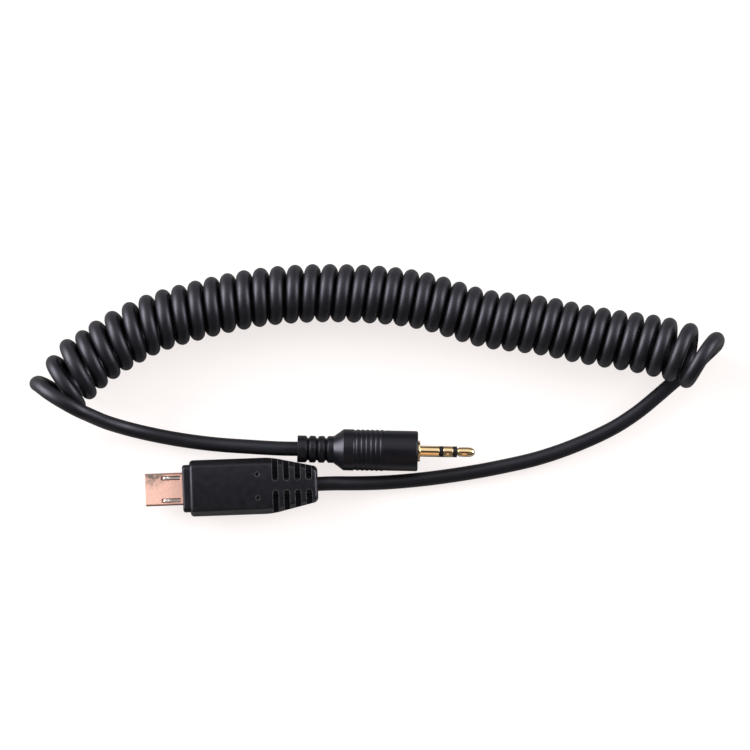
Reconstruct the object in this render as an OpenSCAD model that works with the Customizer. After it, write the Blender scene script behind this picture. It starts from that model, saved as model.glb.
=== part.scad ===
// Coiled cable shutter release: a 2.5 mm three-pole jack and a flat sprung terminal plug,
// joined by a curly cord that lies beside both. Millimetres, +Z up, the cable lies on z = 0.
// The origin is under the middle of the box that holds the two plugs.

/* [Cord] */
// Outer diameter of the cord's jacket
cord_d = 3.28; // [3.1:0.02:3.4]
// Radius of the coil's middle turns, to the middle of the cord
coil_r = 5.02; // [4.8:0.02:5.2]
// Width of a coil turn along the coil, a little under the cord so that turns stay apart
turn_w = 2.8; // [2.4:0.05:3]
// Diameter of one insulated core
core_d = 0.7; // [0.5:0.05:0.75]
// Clearance round the cord where it passes through a moulding
cord_gap = 0.02; // [0.01:0.01:0.1]

/* [Jack pin] */
// Diameter of the jack pin
pin_d = 2.5; // [2.4:0.02:2.6]
// Length of the sleeve pole, in front of its flange
sleeve_l = 4.35; // [3.6:0.05:5]
// Length of each black insulating collar on the pin
collar_l = 0.95; // [0.5:0.05:1.2]
// Length of the ring pole
ring_l = 2.15; // [1.6:0.05:2.6]
// Length of the narrow neck behind the tip
neck_l = 0.3; // [0.2:0.05:0.8]
// Diameter of the neck behind the tip
neck_d = 1.7; // [1.4:0.05:2]
// Length of the tip's cylindrical part
tip_l = 3; // [2.4:0.05:3.4]
// Diameter of the tip's cylindrical part
tip_d = 2.2; // [2:0.02:2.3]
// Length of the tip's rounded nose
nose_l = 0.75; // [0.5:0.05:1]
// Diameter of the flange that seats on the housing
flange_d = 4.7; // [4:0.05:5.2]
// Thickness of the flange
flange_t = 0.5; // [0.3:0.05:0.8]

/* [Jack housing] */
// Diameter of the grip barrel at its widest
barrel_d = 9.4; // [8.6:0.05:10]
// Diameter of the plain front part of the barrel
barrel_front_d = 9.16; // [8.4:0.05:9.6]
// Length of the housing from the cord side to the front face
jack_l = 27.4; // [25.5:0.1:29]
// Length of the whole strain relief with its rings
relief_l = 8.25; // [7.8:0.05:8.6]
// Diameter of the strain relief's rings
relief_d = 6.14; // [5.8:0.02:6.6]
// Diameter at the bottom of the grooves between the rings
relief_core_d = 5; // [4.6:0.05:5.4]
// Width of the strain relief's first ring, at the cord
relief_first_w = 2; // [1.6:0.05:2.2]
// Distance from one groove of the strain relief to the next
relief_pitch = 2.05; // [1.8:0.01:2.1]
// Width of a groove of the strain relief
relief_groove_w = 0.83; // [0.6:0.01:0.9]
// Number of grooves of the strain relief
relief_grooves = 3; // [1:1:3]
// Length of the cone between strain relief and barrel
shoulder_l = 2.25; // [1.8:0.05:2.6]
// Number of thin grip ribs round the barrel
grip_ribs = 6; // [3:1:7]
// Distance from one grip rib to the next
grip_pitch = 1.09; // [0.9:0.01:1.2]
// Depth of the grooves between the grip ribs
grip_depth = 0.25; // [0.1:0.05:0.5]
// Rounding of the barrel's front edge
barrel_edge = 0.4; // [0.2:0.05:0.8]

/* [Jack inside] */
// Diameter of the pin's stem inside the housing
stem_d = 3.8; // [3.4:0.05:4.2]
// Length of the stem inside the housing
stem_l = 5.9; // [5:0.1:7]
// Outer diameter of the rear insulating tube
rear_tube_d = 1.9; // [1.8:0.02:2]
// Outer diameter of the ring pole's tube
ring_tube_d = 1.4; // [1.3:0.02:1.5]
// Outer diameter of the front insulating tube
front_tube_d = 1; // [0.9:0.02:1.1]
// Diameter of the tip pole's rod
tip_rod_d = 0.6; // [0.5:0.02:0.7]
// Thickness of the solder lugs
lug_t = 0.3; // [0.2:0.02:0.35]
// Width of the solder lugs' tags
lug_w = 1.2; // [0.8:0.05:1.3]
// Length of the solder lugs' tags
lug_l = 5.4; // [4.5:0.1:6]
// Thickness of the insulating washers between the lugs
washer_t = 0.6; // [0.4:0.05:0.8]
// Outer diameter of the jack's inner mould
jack_mould_d = 6.4; // [6.1:0.05:7]
// Bore of the jack's inner mould
jack_mould_bore = 4.6; // [4.3:0.05:5]
// Length of the jacket that the inner mould grips
jacket_grip = 1.5; // [1:0.1:2]

/* [Terminal shell] */
// Width of the metal shell
shell_w = 7.4; // [7.2:0.05:7.8]
// Height of the metal shell
shell_h = 2.9; // [2.8:0.05:3.2]
// Thickness of the shell's sheet metal
shell_wall = 0.3; // [0.2:0.02:0.35]
// Length of shell that shows in front of the collar
shell_out = 8.45; // [8:0.05:9]
// Length of shell behind the collar
shell_in = 5; // [4:0.1:5.5]
// Width of the slope along each lower edge of the shell
shell_slope_w = 0.8; // [0.4:0.05:1]
// Height of the slope along each lower edge of the shell
shell_slope_h = 0.9; // [0.5:0.05:1]
// Length of the windows that the latches look out of
window_l = 4.4; // [4.2:0.05:4.8]
// Width of the windows
window_w = 0.8; // [0.7:0.02:0.9]
// Distance of the windows and latches from the middle
latch_y = 2.55; // [2.45:0.01:2.65]

/* [Latches] */
// Width of a latch spring
latch_w = 0.55; // [0.4:0.01:0.6]
// Thickness of a latch spring
latch_t = 0.22; // [0.16:0.01:0.25]
// Height of the latch hooks above the shell
hook_out = 0.35; // [0.2:0.02:0.45]
// Radius of the rolled root of a latch
latch_root_r = 0.25; // [0.2:0.01:0.28]
// Clearance round the latch root in the insulator
latch_gap = 0.08; // [0.05:0.01:0.1]

/* [Contacts] */
// Number of contacts on top of the tongue
upper_count = 5; // [3:1:5]
// Number of contacts under the tongue
lower_count = 10; // [4:1:10]
// Distance from one upper contact to the next
upper_pitch = 0.65; // [0.6:0.01:0.75]
// Distance from one lower contact to the next
lower_pitch = 0.36; // [0.34:0.01:0.38]
// Width of an upper contact
upper_w = 0.32; // [0.25:0.01:0.4]
// Width of a lower contact
lower_w = 0.2; // [0.15:0.01:0.24]
// Thickness of the contacts
contact_t = 0.12; // [0.08:0.01:0.16]
// Width of the insulating tongue
tongue_w = 4; // [3.8:0.05:4.2]
// Thickness of the insulating tongue
tongue_t = 0.6; // [0.5:0.02:0.7]
// How far the tongue stays back from the shell's mouth
tongue_back = 0.5; // [0.3:0.05:0.8]
// Length of the solder tails behind the insulator
tail_l = 2.6; // [2:0.1:3]

/* [Terminal housing] */
// Width of the housing
housing_w = 12.8; // [12:0.05:13.4]
// Thickness of the housing
housing_h = 8.2; // [7.8:0.05:8.8]
// Length of the housing's straight body
housing_body_l = 18.6; // [17.8:0.1:20]
// Length of the housing's tapered tail
housing_tail_l = 10.5; // [10.4:0.1:12]
// Width of the tail at the cord
tail_w = 8; // [7.4:0.05:8.6]
// Thickness of the tail at the cord
tail_h = 6.6; // [6:0.05:7]
// Rounding of the housing's long edges
housing_edge = 1.9; // [1:0.05:2.4]
// Length of the slope round the housing's front face
front_slope = 0.7; // [0.4:0.05:1]
// Length of the collar in front of the housing
collar_x = 1.65; // [1.5:0.01:2.2]
// Width of the collar
collar_w = 10.8; // [10:0.05:11.2]
// Thickness of the collar
collar_h = 6; // [5.4:0.05:6.4]
// Number of flex slots on each side of the tail
flex_slots = 4; // [2:1:4]
// Distance from one flex slot to the next
flex_pitch = 2.55; // [2.4:0.01:2.6]
// Width of a flex slot
flex_w = 1.3; // [1:0.05:1.4]
// Width of the web left between the slots of both sides
flex_web = 2.14; // [1.8:0.02:2.6]
// Thickness of the spine left along each side of the tail
flex_spine = 1.2; // [0.8:0.05:1.6]
// Diameter of the core left round the cord inside the slots
flex_core_d = 5; // [4.6:0.05:5.2]
// Diameter of the two small dimples on the housing
dimple_d = 0.9; // [0.6:0.05:1.2]
// Distance of the dimples from the middle
dimple_y = 2.7; // [2.2:0.05:3.2]
// Depth of the dimples
dimple_deep = 0.35; // [0.2:0.05:0.5]

/* [Terminal inside] */
// Width of the inner mould
mould_w = 9.4; // [9:0.05:9.8]
// Thickness of the inner mould
mould_h = 5.6; // [5:0.05:5.8]
// Length of the inner mould
mould_l = 15; // [14.5:0.1:16]
// Wall of the inner mould round the solder joints
mould_wall = 1.2; // [1:0.05:1.3]
// Length of the metal clamp on the jacket
clamp_l = 1.6; // [1.2:0.05:1.8]
// Wall thickness of the metal clamp
clamp_t = 0.35; // [0.25:0.01:0.4]

/* [Places] */
// Distance of the jack's cord end from the origin along X
jack_x = -2.75; // [-4:0.05:-2]
// Distance of the jack's axis from the origin along Y
jack_y = 5.55; // [5.5:0.05:6]
// Distance of the terminal housing's front face from the origin along X
terminal_x = -27; // [-28:0.05:-26]
// Distance of the terminal housing's front face from the origin along Y
terminal_y = -3.95; // [-4.4:0.05:-3.9]
// Angle of the terminal plug to the jack, seen from above
terminal_turn = 3.2; // [2.8:0.05:3.4]

/* [Hidden] */

cord_r = cord_d / 2;
core_r = core_d / 2;
cord_bore_r = cord_r + cord_gap;
touch = 0.02;            // running gap between parts that lie on each other
past = 1;                // how far a cutter runs past the face that it cuts
round_fn = 64;

// Stations along the jack's axis, from the cord end of the housing
flange_x = jack_l;
sleeve_x = flange_x + flange_t;
rear_collar_x = sleeve_x + sleeve_l;
ring_x = rear_collar_x + collar_l;
front_collar_x = ring_x + ring_l;
neck_x = front_collar_x + collar_l;
tip_x = neck_x + neck_l;
nose_x = tip_x + tip_l;
pin_end_x = nose_x + nose_l;
stem_x = flange_x - stem_l;
sleeve_lug_x = stem_x - lug_t;
rear_washer_x = sleeve_lug_x - washer_t;
ring_lug_x = rear_washer_x - lug_t;
front_washer_x = ring_lug_x - washer_t;
tip_lug_x = front_washer_x - lug_t;
rivet_x = tip_lug_x - lug_t;
barrel_x = relief_l + shoulder_l;
grip_x = barrel_x + grip_pitch * 2.7;
mould_x = relief_l + 0.25;
jacket_end_x = mould_x + jacket_grip;
barrel_r = barrel_d / 2;
pin_r = pin_d / 2;

// Radii of the stack on the pin's rear, each lug clear of the tags that pass it
sleeve_lug_r = stem_d / 2 + 0.1;
rear_washer_r = ring_tube_d / 2 + 0.75;
ring_lug_r = ring_tube_d / 2 + 0.4;
front_washer_r = front_tube_d / 2 + 0.5;
tip_lug_r = tip_rod_d / 2 + 0.6;
rivet_r = tip_rod_d / 2 + 0.25;
ring_tag_y = max(core_d + core_r, front_washer_r) + touch * 2;   // inner face of the ring's tag
sleeve_tag_y = rear_washer_r + touch * 2;                        // inner face of the sleeve's tag
tip_tag_z = tip_rod_d / 2 + touch * 2;                           // lower face of the tip's tag
tip_core_z = tip_tag_z + lug_t + core_r + touch;

// Heights of the two plugs, lying on the table
jack_z = barrel_d / 2;
terminal_z = housing_h / 2;

// Stations along the terminal plug, from the front face of its housing
shell_front_x = -collar_x - shell_out;
insulator_x = -collar_x;
insulator_l = collar_x + shell_in;
tail_end_x = shell_in + tail_l;
housing_l = housing_body_l + housing_tail_l;
clamp_x = mould_l - clamp_l;
terminal_jacket_x = clamp_x - 0.4;
tongue_z = -0.05;
upper_z = tongue_z + tongue_t / 2;
lower_z = tongue_z - tongue_t / 2 - contact_t;
window_x = insulator_x - 0.47 - window_l;
latch_root = [insulator_x + 1.5, 0.45];
window_end_x = window_x + window_l;

// ---- Curves through points ---------------------------------------------------------------

function unit(v) = v / norm(v);
function last(list) = list[len(list) - 1];

// Slope at point i of a smooth curve through points p with keys k, from its two neighbours
function inner_slope(p, k, i) =
    let (before = k[i] - k[i - 1], after = k[i + 1] - k[i])
    ((p[i] - p[i - 1]) / before * after + (p[i + 1] - p[i]) / after * before) / (before + after);

function slope(p, k, i) =
    i == 0 ? 2 * (p[1] - p[0]) / (k[1] - k[0]) - inner_slope(p, k, 1) :
    i == len(p) - 1 ? 2 * (p[i] - p[i - 1]) / (k[i] - k[i - 1]) - inner_slope(p, k, i - 1) :
    inner_slope(p, k, i);

// Cubic between two points with slopes m0 and m1 over a span h, at share t
function cubic(p0, p1, m0, m1, h, t) =
    (2 * t * t * t - 3 * t * t + 1) * p0 + (t * t * t - 2 * t * t + t) * h * m0
    + (3 * t * t - 2 * t * t * t) * p1 + (t * t * t - t * t) * h * m1;

// Index of the span that holds key u
function span(k, u, i = 0) = i >= len(k) - 2 || u < k[i + 1] ? i : span(k, u, i + 1);

function curve_at(p, k, u) =
    let (i = span(k, u), h = k[i + 1] - k[i])
    cubic(p[i], p[i + 1], slope(p, k, i), slope(p, k, i + 1), h, (u - k[i]) / h);

// Keys by distance along the points
function distances(p) = [for (i = 0, d = 0; i < len(p); i = i + 1,
    d = i < len(p) ? d + norm(p[i] - p[i - 1]) : d) d];

// Points along a route, with the direction given at one end or both
function route(p, steps, first_way = undef, last_way = undef) =
    let (k = distances(p), n = len(p) - 1,
         m = [for (i = [0:n]) i == 0 && first_way != undef ? first_way :
              i == n && last_way != undef ? last_way : slope(p, k, i)])
    [for (i = [0:n - 1], j = [0:steps - 1])
        cubic(p[i], p[i + 1], m[i], m[i + 1], k[i + 1] - k[i], j / steps), last(p)];

// ---- Sweeping a section along a route ----------------------------------------------------

// Direction of travel at each ring
function ways(c, first_way, last_way) =
    let (n = len(c) - 1)
    [for (i = [0:n]) i == 0 ? first_way : i == n ? last_way : unit(c[i + 1] - c[i - 1])];

// A direction square to each way that turns as little as it can from ring to ring
function sides(w, start) =
    [for (i = 0, s = unit(start - (start * w[0]) * w[0]); i < len(w); i = i + 1,
        s = i < len(w) ? unit(s - (s * w[i]) * w[i]) : s) s];

// Closed skin over rings of equal count, faces turned outwards
module skin(rings) {
    count = len(rings[0]);
    top = len(rings) - 1;
    walls = [for (i = [0:top - 1], j = [0:count - 1])
        let (a = i * count + j, b = i * count + (j + 1) % count)
        each [[a, a + count, b], [b, a + count, b + count]]];
    foot = [for (j = [1:count - 2]) [0, j, j + 1]];
    head = [for (j = [1:count - 2]) [top * count, top * count + j + 1, top * count + j]];
    polyhedron(points = [for (ring = rings) each ring], faces = concat(walls, foot, head));
}

// Round tube of eight sides along ring centres c
module cord_tube(c, first_way, last_way, side) {
    w = ways(c, first_way, last_way);
    s = sides(w, side);
    skin([for (i = [0:len(c) - 1])
        let (b = cross(w[i], s[i]))
        [for (a = [0:45:315]) c[i] + cord_r * (cos(a) * s[i] - sin(a) * b)]]);
}

// ---- The coil's shape --------------------------------------------------------------------

// The coil's axis: turn number, place on the table, how far the turn is lifted off the table, the
// angle of its plane to the Y axis, and how much wider it is than the middle turns.
// The right end rides up on the lead below it.
coil_axis = [
    [1.25, -58.3, 16.1, 0.14, 50, 0], [2, -55.6, 19.1, 0.14, 44.5, 0.38],
    [3, -53, 22.7, 0.34, 37, 0.6], [4, -49.9, 25, 0.19, 33.5, 0.26],
    [5, -47, 27.2, 0.09, 32.5, 0.26], [8, -36.9, 33, 0.04, 19.5, 0.18],
    [11, -26.3, 36.5, 0.04, 14.5, 0.1], [15, -11.9, 39.8, 0.04, 10.5, 0.04],
    [20, 6.8, 41.1, 0.04, 0.5, 0], [25, 24.9, 39.8, 0.04, -3, 0], [29, 39.2, 36, 0.04, -6.5, 0],
    [33, 53.7, 34.4, 0.04, -8, 0.12], [35, 60.9, 33, 0.04, -8, 0.12],
    [37, 68.3, 31.9, 0.29, -8, 0.12], [39, 75.8, 30.9, 0.99, -8.5, 0.28],
    [41, 83.5, 29.2, 2.64, -12, 0.52], [42.25, 89.6, 27.1, 3.04, -25, 0.74]
];
axis_turns = [for (s = coil_axis) s[0]];
axis_points = [for (s = coil_axis) [s[1], s[2], s[3] + cord_r + coil_r + s[5]]];
turn_angles = [for (s = coil_axis) s[4]];
turn_growths = [for (s = coil_axis) s[5]];
coil_first = axis_turns[0];
coil_last = last(axis_turns);
rings_per_turn = 8;
small_turn = 0.01;

function axis_at(n) = curve_at(axis_points, axis_turns, n);
function across(n) = let (a = curve_at(turn_angles, axis_turns, n)) [-sin(a), cos(a), 0];
function outwards(n) = cos(360 * n) * [0, 0, 1] + sin(360 * n) * across(n);
function radius_at(n) = coil_r + curve_at(turn_growths, axis_turns, n);
function coil_point(n) = axis_at(n) + radius_at(n) * outwards(n);
function coil_way(n) = unit(coil_point(n + small_turn) - coil_point(n - small_turn));

// Six-sided section of a turn, its flats towards the next turns
function turn_ring(n) =
    let (way = coil_way(n), out = unit(outwards(n) - (outwards(n) * way) * way),
         along = cross(way, out), r = cord_r, w = turn_w / 2)
    [for (q = [[r, 0], [r / 2, w], [-r / 2, w], [-r, 0], [-r / 2, -w], [r / 2, -w]])
        coil_point(n) + q[0] * out - q[1] * along];

coil_rings = [for (i = [0:(coil_last - coil_first) * rings_per_turn])
    turn_ring(coil_first + i / rings_per_turn)];

// Least distance between the points of one turn and the next
coil_self_gap = min([for (i = [0:len(coil_rings) - 1 - rings_per_turn / 2])
    for (j = [i + rings_per_turn / 2:min(i + rings_per_turn * 1.5, len(coil_rings) - 1)])
    for (p = coil_rings[i], q = coil_rings[j]) norm(p - q)]);
echo(coil_turns = coil_last - coil_first, coil_self_gap_mm = coil_self_gap);

// ---- The leads' routes -------------------------------------------------------------------

jack_end = [jack_x, jack_y, jack_z];
terminal_way = [cos(terminal_turn), sin(terminal_turn), 0];
terminal_end = [terminal_x, terminal_y, terminal_z] + housing_l * terminal_way;
lead_steps = 2;

// From the jack to the coil's first turn, over the second turn's foot
jack_route = concat(
    [jack_end + [jacket_end_x, 0, 0], jack_end, jack_end - [cord_d, 0, 0]],
    [
        [-13.5, 5.8, 3.9], [-22.5, 6.3, 2.5], [-31.5, 7.4, 2], [-38, 8.6, 3], [-43, 9.8, 5.2],
        [-46.6, 10.9, 8.1], [-50, 12.3, 11.3], [-53.2, 13.7, 13.7], [-56.2, 15.3, 14.2],
        [-59.2, 17.1, 13], [-61.3, 18.6, 10.7], [-62.2, 19.2, 8.4]
    ],
    [coil_point(coil_first)]);
// From the coil's last turn, under it, along the table to the terminal plug
terminal_route = concat(
    [coil_point(coil_last)],
    [
        [92, 31.2, 6.2], [91.2, 30.2, 3.4], [89.6, 28.6, 2], [86.8, 25.8, 1.7], [83, 22.8, 1.7],
        [79.4, 19.6, 1.7], [75, 15.8, 1.7], [70.5, 12.6, 1.7], [61.5, 8, 1.7], [52.5, 4.6, 1.7],
        [43.5, 2.3, 1.7], [34.5, 0.5, 1.7], [25.3, -0.9, 1.7], [16.2, -1.8, 2.1], [10, -2.05, 3.2]
    ],
    [terminal_end + cord_d * terminal_way, terminal_end,
     terminal_end - (housing_l - terminal_jacket_x) * terminal_way]);

// ---- Common shapes -----------------------------------------------------------------------

// Solid of revolution about X, from points [radius, x]
module lathe(profile) {
    rotate([0, 90, 0]) rotate_extrude($fn = round_fn) polygon(profile);
}

module rod(x, l, r) {
    lathe([[0, x], [r, x], [r, x + l], [0, x + l]]);
}

module pipe(x, l, r, bore) {
    lathe([[bore, x], [r, x], [r, x + l], [bore, x + l]]);
}

// Block from x for length l, w wide and h high about a middle [y, z]
module block(x, l, w, h, middle = [0, 0]) {
    translate([x, middle[0] - w / 2, middle[1] - h / 2]) cube([l, w, h]);
}

// Rectangle w by h with rounded corners
function rounded_rect(w, h, r, steps = 4) =
    [for (q = [[1, 1, 0], [-1, 1, 90], [-1, -1, 180], [1, -1, 270]], i = [0:steps])
        let (a = q[2] + 90 * i / steps)
        [q[0] * (w / 2 - r) + r * cos(a), q[1] * (h / 2 - r) + r * sin(a)]];

// Outline across the plug, drawn out along X
module draw_out(x, l, outline) {
    translate([x, 0, 0]) rotate([90, 0, 90]) linear_extrude(l) polygon(outline);
}

module at_jack() {
    translate([jack_x, jack_y, jack_z]) children();
}

module at_terminal() {
    translate([terminal_x, terminal_y, terminal_z]) rotate([0, 0, terminal_turn]) children();
}

// ---- Jack plug ---------------------------------------------------------------------------

module jack_tip() {
    nose_end_r = tip_d / 2 * 0.35;
    color("#d9a43a") at_jack() lathe([
        [0, rivet_x], [rivet_r, tip_lug_x], [tip_rod_d / 2, tip_lug_x],
        [tip_rod_d / 2, neck_x], [neck_d / 2, neck_x], [neck_d / 2, tip_x],
        [tip_d / 2 - 0.1, tip_x], [tip_d / 2, tip_x + tip_l * 0.6], [tip_d / 2 - 0.1, nose_x],
        [nose_end_r, pin_end_x], [0, pin_end_x]
    ]);
}

// Insulating tube with a collar that shows on the pin
module insulator(tube_d, bore_d, tube_x, collar_at) {
    color("#17181a") at_jack() lathe([
        [bore_d / 2, tube_x], [tube_d / 2, tube_x], [tube_d / 2, collar_at],
        [pin_r, collar_at], [pin_r, collar_at + collar_l], [bore_d / 2, collar_at + collar_l]
    ]);
}

module jack_front_insulator() {
    insulator(front_tube_d, tip_rod_d, front_washer_x, front_collar_x);
}

module jack_ring() {
    color("#d9a43a") at_jack() lathe([
        [front_tube_d / 2, ring_lug_x], [ring_tube_d / 2, ring_lug_x], [ring_tube_d / 2, ring_x],
        [pin_r, ring_x], [pin_r, front_collar_x], [front_tube_d / 2, front_collar_x]
    ]);
}

module jack_rear_insulator() {
    insulator(rear_tube_d, ring_tube_d, rear_washer_x, rear_collar_x);
}

module jack_sleeve() {
    color("#d9a43a") at_jack() lathe([
        [rear_tube_d / 2, stem_x], [stem_d / 2, stem_x], [stem_d / 2, flange_x],
        [flange_d / 2, flange_x], [flange_d / 2, sleeve_x], [pin_r, sleeve_x],
        [pin_r, rear_collar_x], [rear_tube_d / 2, rear_collar_x]
    ]);
}

module jack_tip_lug() {
    color("#c9a15a") at_jack() {
        difference() {
            union() {
                rod(tip_lug_x, lug_t, tip_lug_r);
                block(tip_lug_x + lug_t - lug_l, lug_l, lug_w, lug_t, [0, tip_tag_z + lug_t / 2]);
            }
            rod(tip_lug_x - past, lug_t + 2 * past, tip_rod_d / 2);
            rod(rivet_x - touch, lug_t + touch, rivet_r + touch);
        }
    }
}

// Lug whose tag runs back at tag_in from the axis, on one side: 1 is +Y, -1 is -Y
module side_lug(x, r, bore_d, tag_in, way) {
    tag_y = tag_in + lug_t / 2;
    color("#c9a15a") at_jack() {
        difference() {
            union() {
                rod(x, lug_t, r);
                block(x, lug_t, tag_y + lug_t / 2, lug_w, [way * (tag_y + lug_t / 2) / 2, 0]);
            }
            rod(x - past, lug_t + 2 * past, bore_d / 2);
        }
        block(x + lug_t - lug_l, lug_l - lug_t, lug_t, lug_w, [way * tag_y, 0]);
    }
}

module jack_ring_lug() {
    side_lug(ring_lug_x, ring_lug_r, ring_tube_d, ring_tag_y, 1);
}

module jack_sleeve_lug() {
    side_lug(sleeve_lug_x, sleeve_lug_r, rear_tube_d, sleeve_tag_y, -1);
}

module jack_front_washer() {
    color("#b5432e") at_jack() pipe(front_washer_x, washer_t, front_washer_r, front_tube_d / 2);
}

module jack_rear_washer() {
    color("#b5432e") at_jack() pipe(rear_washer_x, washer_t, rear_washer_r, rear_tube_d / 2);
}

// One core of the cord, laid straight along X
module core(x, l, middle) {
    translate([x, middle[0], middle[1]]) rotate([0, 90, 0]) cylinder(h = l, r = core_r, $fn = 12);
}

jack_core_l = tip_lug_x - 1 - jacket_end_x - touch;

module jack_focus_wire() {
    color("#c4c8cc") at_jack() core(jacket_end_x + touch, jack_core_l, [ring_tag_y - core_r - touch, 0]);
}

module jack_shutter_wire() {
    color("#b02a22") at_jack() core(jacket_end_x + touch, jack_core_l, [0, tip_core_z]);
}

module jack_ground_wire() {
    color("#b87333") at_jack() core(jacket_end_x + touch, jack_core_l, [core_r + touch - sleeve_tag_y, 0]);
}

module jack_inner_mould() {
    color("#dcdcd4") at_jack() lathe([
        [cord_bore_r, mould_x], [jack_mould_d / 2, mould_x], [jack_mould_d / 2, stem_x],
        [jack_mould_bore / 2, stem_x], [jack_mould_bore / 2, jacket_end_x],
        [cord_bore_r, jacket_end_x]
    ]);
}

module jack_housing() {
    grooves = [for (i = [0:relief_grooves - 1])
        let (x = relief_first_w + i * relief_pitch)
        each [[relief_d / 2, x], [relief_core_d / 2, x + relief_groove_w / 2],
              [relief_d / 2, x + relief_groove_w]]];
    ribs = [for (i = [0:grip_ribs - 1])
        let (x = grip_x + i * grip_pitch)
        each [[barrel_r, x], [barrel_r - grip_depth, x + grip_pitch / 2]]];
    front_r = barrel_front_d / 2;
    color("#202124") at_jack() lathe(concat(
        [[cord_bore_r, 0], [relief_d / 2, 0]], grooves, [[relief_d / 2, relief_l], [barrel_r, barrel_x],
        [barrel_r, grip_x - grip_pitch], [barrel_r - grip_depth, grip_x - grip_pitch / 2]], ribs,
        [[front_r, grip_x + grip_ribs * grip_pitch], [front_r, jack_l - barrel_edge],
        [front_r - barrel_edge, jack_l], [stem_d / 2, jack_l], [stem_d / 2, stem_x],
        [jack_mould_d / 2, stem_x], [jack_mould_d / 2, mould_x], [cord_bore_r, mould_x]]));
}

// ---- Terminal plug -----------------------------------------------------------------------

// The shell's D-shaped outline, drawn in from its outside by inset
function shell_outline(inset) =
    let (a = shell_w / 2 - inset, t = shell_h / 2 - inset, c = 0.25)
    [[a, t - c], [a - c, t], [-a + c, t], [-a, t - c], [-a, -t + shell_slope_h],
     [-a + shell_slope_w, -t], [a - shell_slope_w, -t], [a, -t + shell_slope_h]];

module terminal_shell() {
    color("#dfa489") at_terminal() difference() {
        draw_out(shell_front_x, shell_out + collar_x + shell_in, shell_outline(0));
        draw_out(shell_front_x - past, shell_out + collar_x + shell_in + 2 * past,
            shell_outline(shell_wall));
        for (way = [-1, 1]) {
            block(window_x, window_l, window_w, 2 * shell_wall, [way * latch_y, shell_h / 2]);
        }
    }
}

// Row of contacts: a strip on the tongue and its solder tail
module contact_row(count, pitch, w, z) {
    for (i = [0:count - 1]) {
        block(shell_front_x + tongue_back + 0.3, tail_end_x - shell_front_x - tongue_back - 0.3,
            w, contact_t, [(i - (count - 1) / 2) * pitch, z + contact_t / 2]);
    }
}

module terminal_insulator() {
    color("#1d1d1f") at_terminal() difference() {
        union() {
            block(shell_front_x + tongue_back, insulator_x - shell_front_x - tongue_back,
                tongue_w, tongue_t, [0, tongue_z]);
            draw_out(insulator_x, insulator_l, shell_outline(shell_wall));
        }
        contact_row(upper_count, upper_pitch, upper_w, upper_z);
        contact_row(lower_count, lower_pitch, lower_w, lower_z);
        for (way = [-1, 1]) {
            block(insulator_x - past, latch_root[0] - insulator_x + past, latch_w + 2 * latch_gap,
                shell_h, [way * latch_y, latch_root[1] - latch_root_r - latch_gap + shell_h / 2]);
            translate([latch_root[0], way * latch_y, latch_root[1]]) rotate([90, 0, 0])
                cylinder(h = latch_w + 2 * latch_gap, r = latch_root_r + latch_gap,
                    center = true, $fn = 32);
        }
    }
}

module upper_contacts() {
    color("#d9b45a") at_terminal() contact_row(upper_count, upper_pitch, upper_w, upper_z);
}

module lower_contacts() {
    color("#d9b45a") at_terminal() contact_row(lower_count, lower_pitch, lower_w, lower_z);
}

// Latch spring on one side, with its rolled root and the hook at its free end
module latch(way) {
    top = shell_h / 2;
    hook_x = window_x + 0.75;
    arm = [
        [latch_root[0], latch_root[1] + latch_t / 2], [window_end_x, top - shell_wall - 0.3],
        [hook_x + 1.5, top - shell_wall - 0.1], [hook_x + 0.8, top + hook_out],
        [hook_x, top + hook_out], [hook_x - 0.4, top - shell_wall],
        [hook_x - 0.4 + latch_t, top - shell_wall - latch_t],
        [hook_x + latch_t, top + hook_out - 1.2 * latch_t],
        [hook_x + 0.8 - latch_t / 2, top + hook_out - 1.2 * latch_t],
        [hook_x + 1.5 - latch_t / 2, top - shell_wall - 0.1 - latch_t],
        [window_end_x, top - shell_wall - 0.3 - latch_t], [latch_root[0], latch_root[1] - latch_t / 2]
    ];
    color("#d8d4cc") at_terminal() translate([0, way * latch_y, 0]) rotate([90, 0, 0]) {
        linear_extrude(latch_w, center = true) polygon(arm);
        translate([latch_root[0], latch_root[1], 0])
            cylinder(h = latch_w, r = latch_root_r, center = true, $fn = 32);
    }
}

module left_latch() {
    latch(1);
}

module right_latch() {
    latch(-1);
}

module terminal_collar() {
    color("#1a1b1e") at_terminal() difference() {
        draw_out(-collar_x, collar_x, rounded_rect(collar_w, collar_h, 1.2));
        draw_out(-collar_x - past, collar_x + 2 * past, shell_outline(0));
    }
}

module terminal_cord_clamp() {
    color("#b9bcc0") at_terminal() pipe(clamp_x, clamp_l, cord_bore_r + clamp_t, cord_bore_r);
}

terminal_core_x = shell_in + 0.8;
terminal_core_l = terminal_jacket_x - touch - terminal_core_x;

module terminal_focus_wire() {
    color("#c4c8cc") at_terminal()
        core(terminal_core_x, terminal_core_l, [core_d + 0.1, lower_z - core_r - touch]);
}

module terminal_shutter_wire() {
    color("#b02a22") at_terminal()
        core(terminal_core_x, terminal_core_l, [-core_d - 0.1, lower_z - core_r - touch]);
}

module terminal_ground_wire() {
    color("#b87333") at_terminal()
        core(terminal_core_x, terminal_core_l, [0, upper_z + contact_t + core_r + touch]);
}

module terminal_inner_mould() {
    hollow_w = mould_w - 2 * mould_wall;
    hollow_h = mould_h - 2 * mould_wall;
    color("#dcdcd4") at_terminal() difference() {
        block(0, mould_l, mould_w, mould_h);
        draw_out(-past, shell_in + past, shell_outline(0));
        block(shell_in - touch, terminal_jacket_x - 1 - shell_in, hollow_w, hollow_h);
        rod(shell_in, mould_l, cord_bore_r);
        rod(clamp_x, clamp_l + past, cord_bore_r + clamp_t);
    }
}

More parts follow.
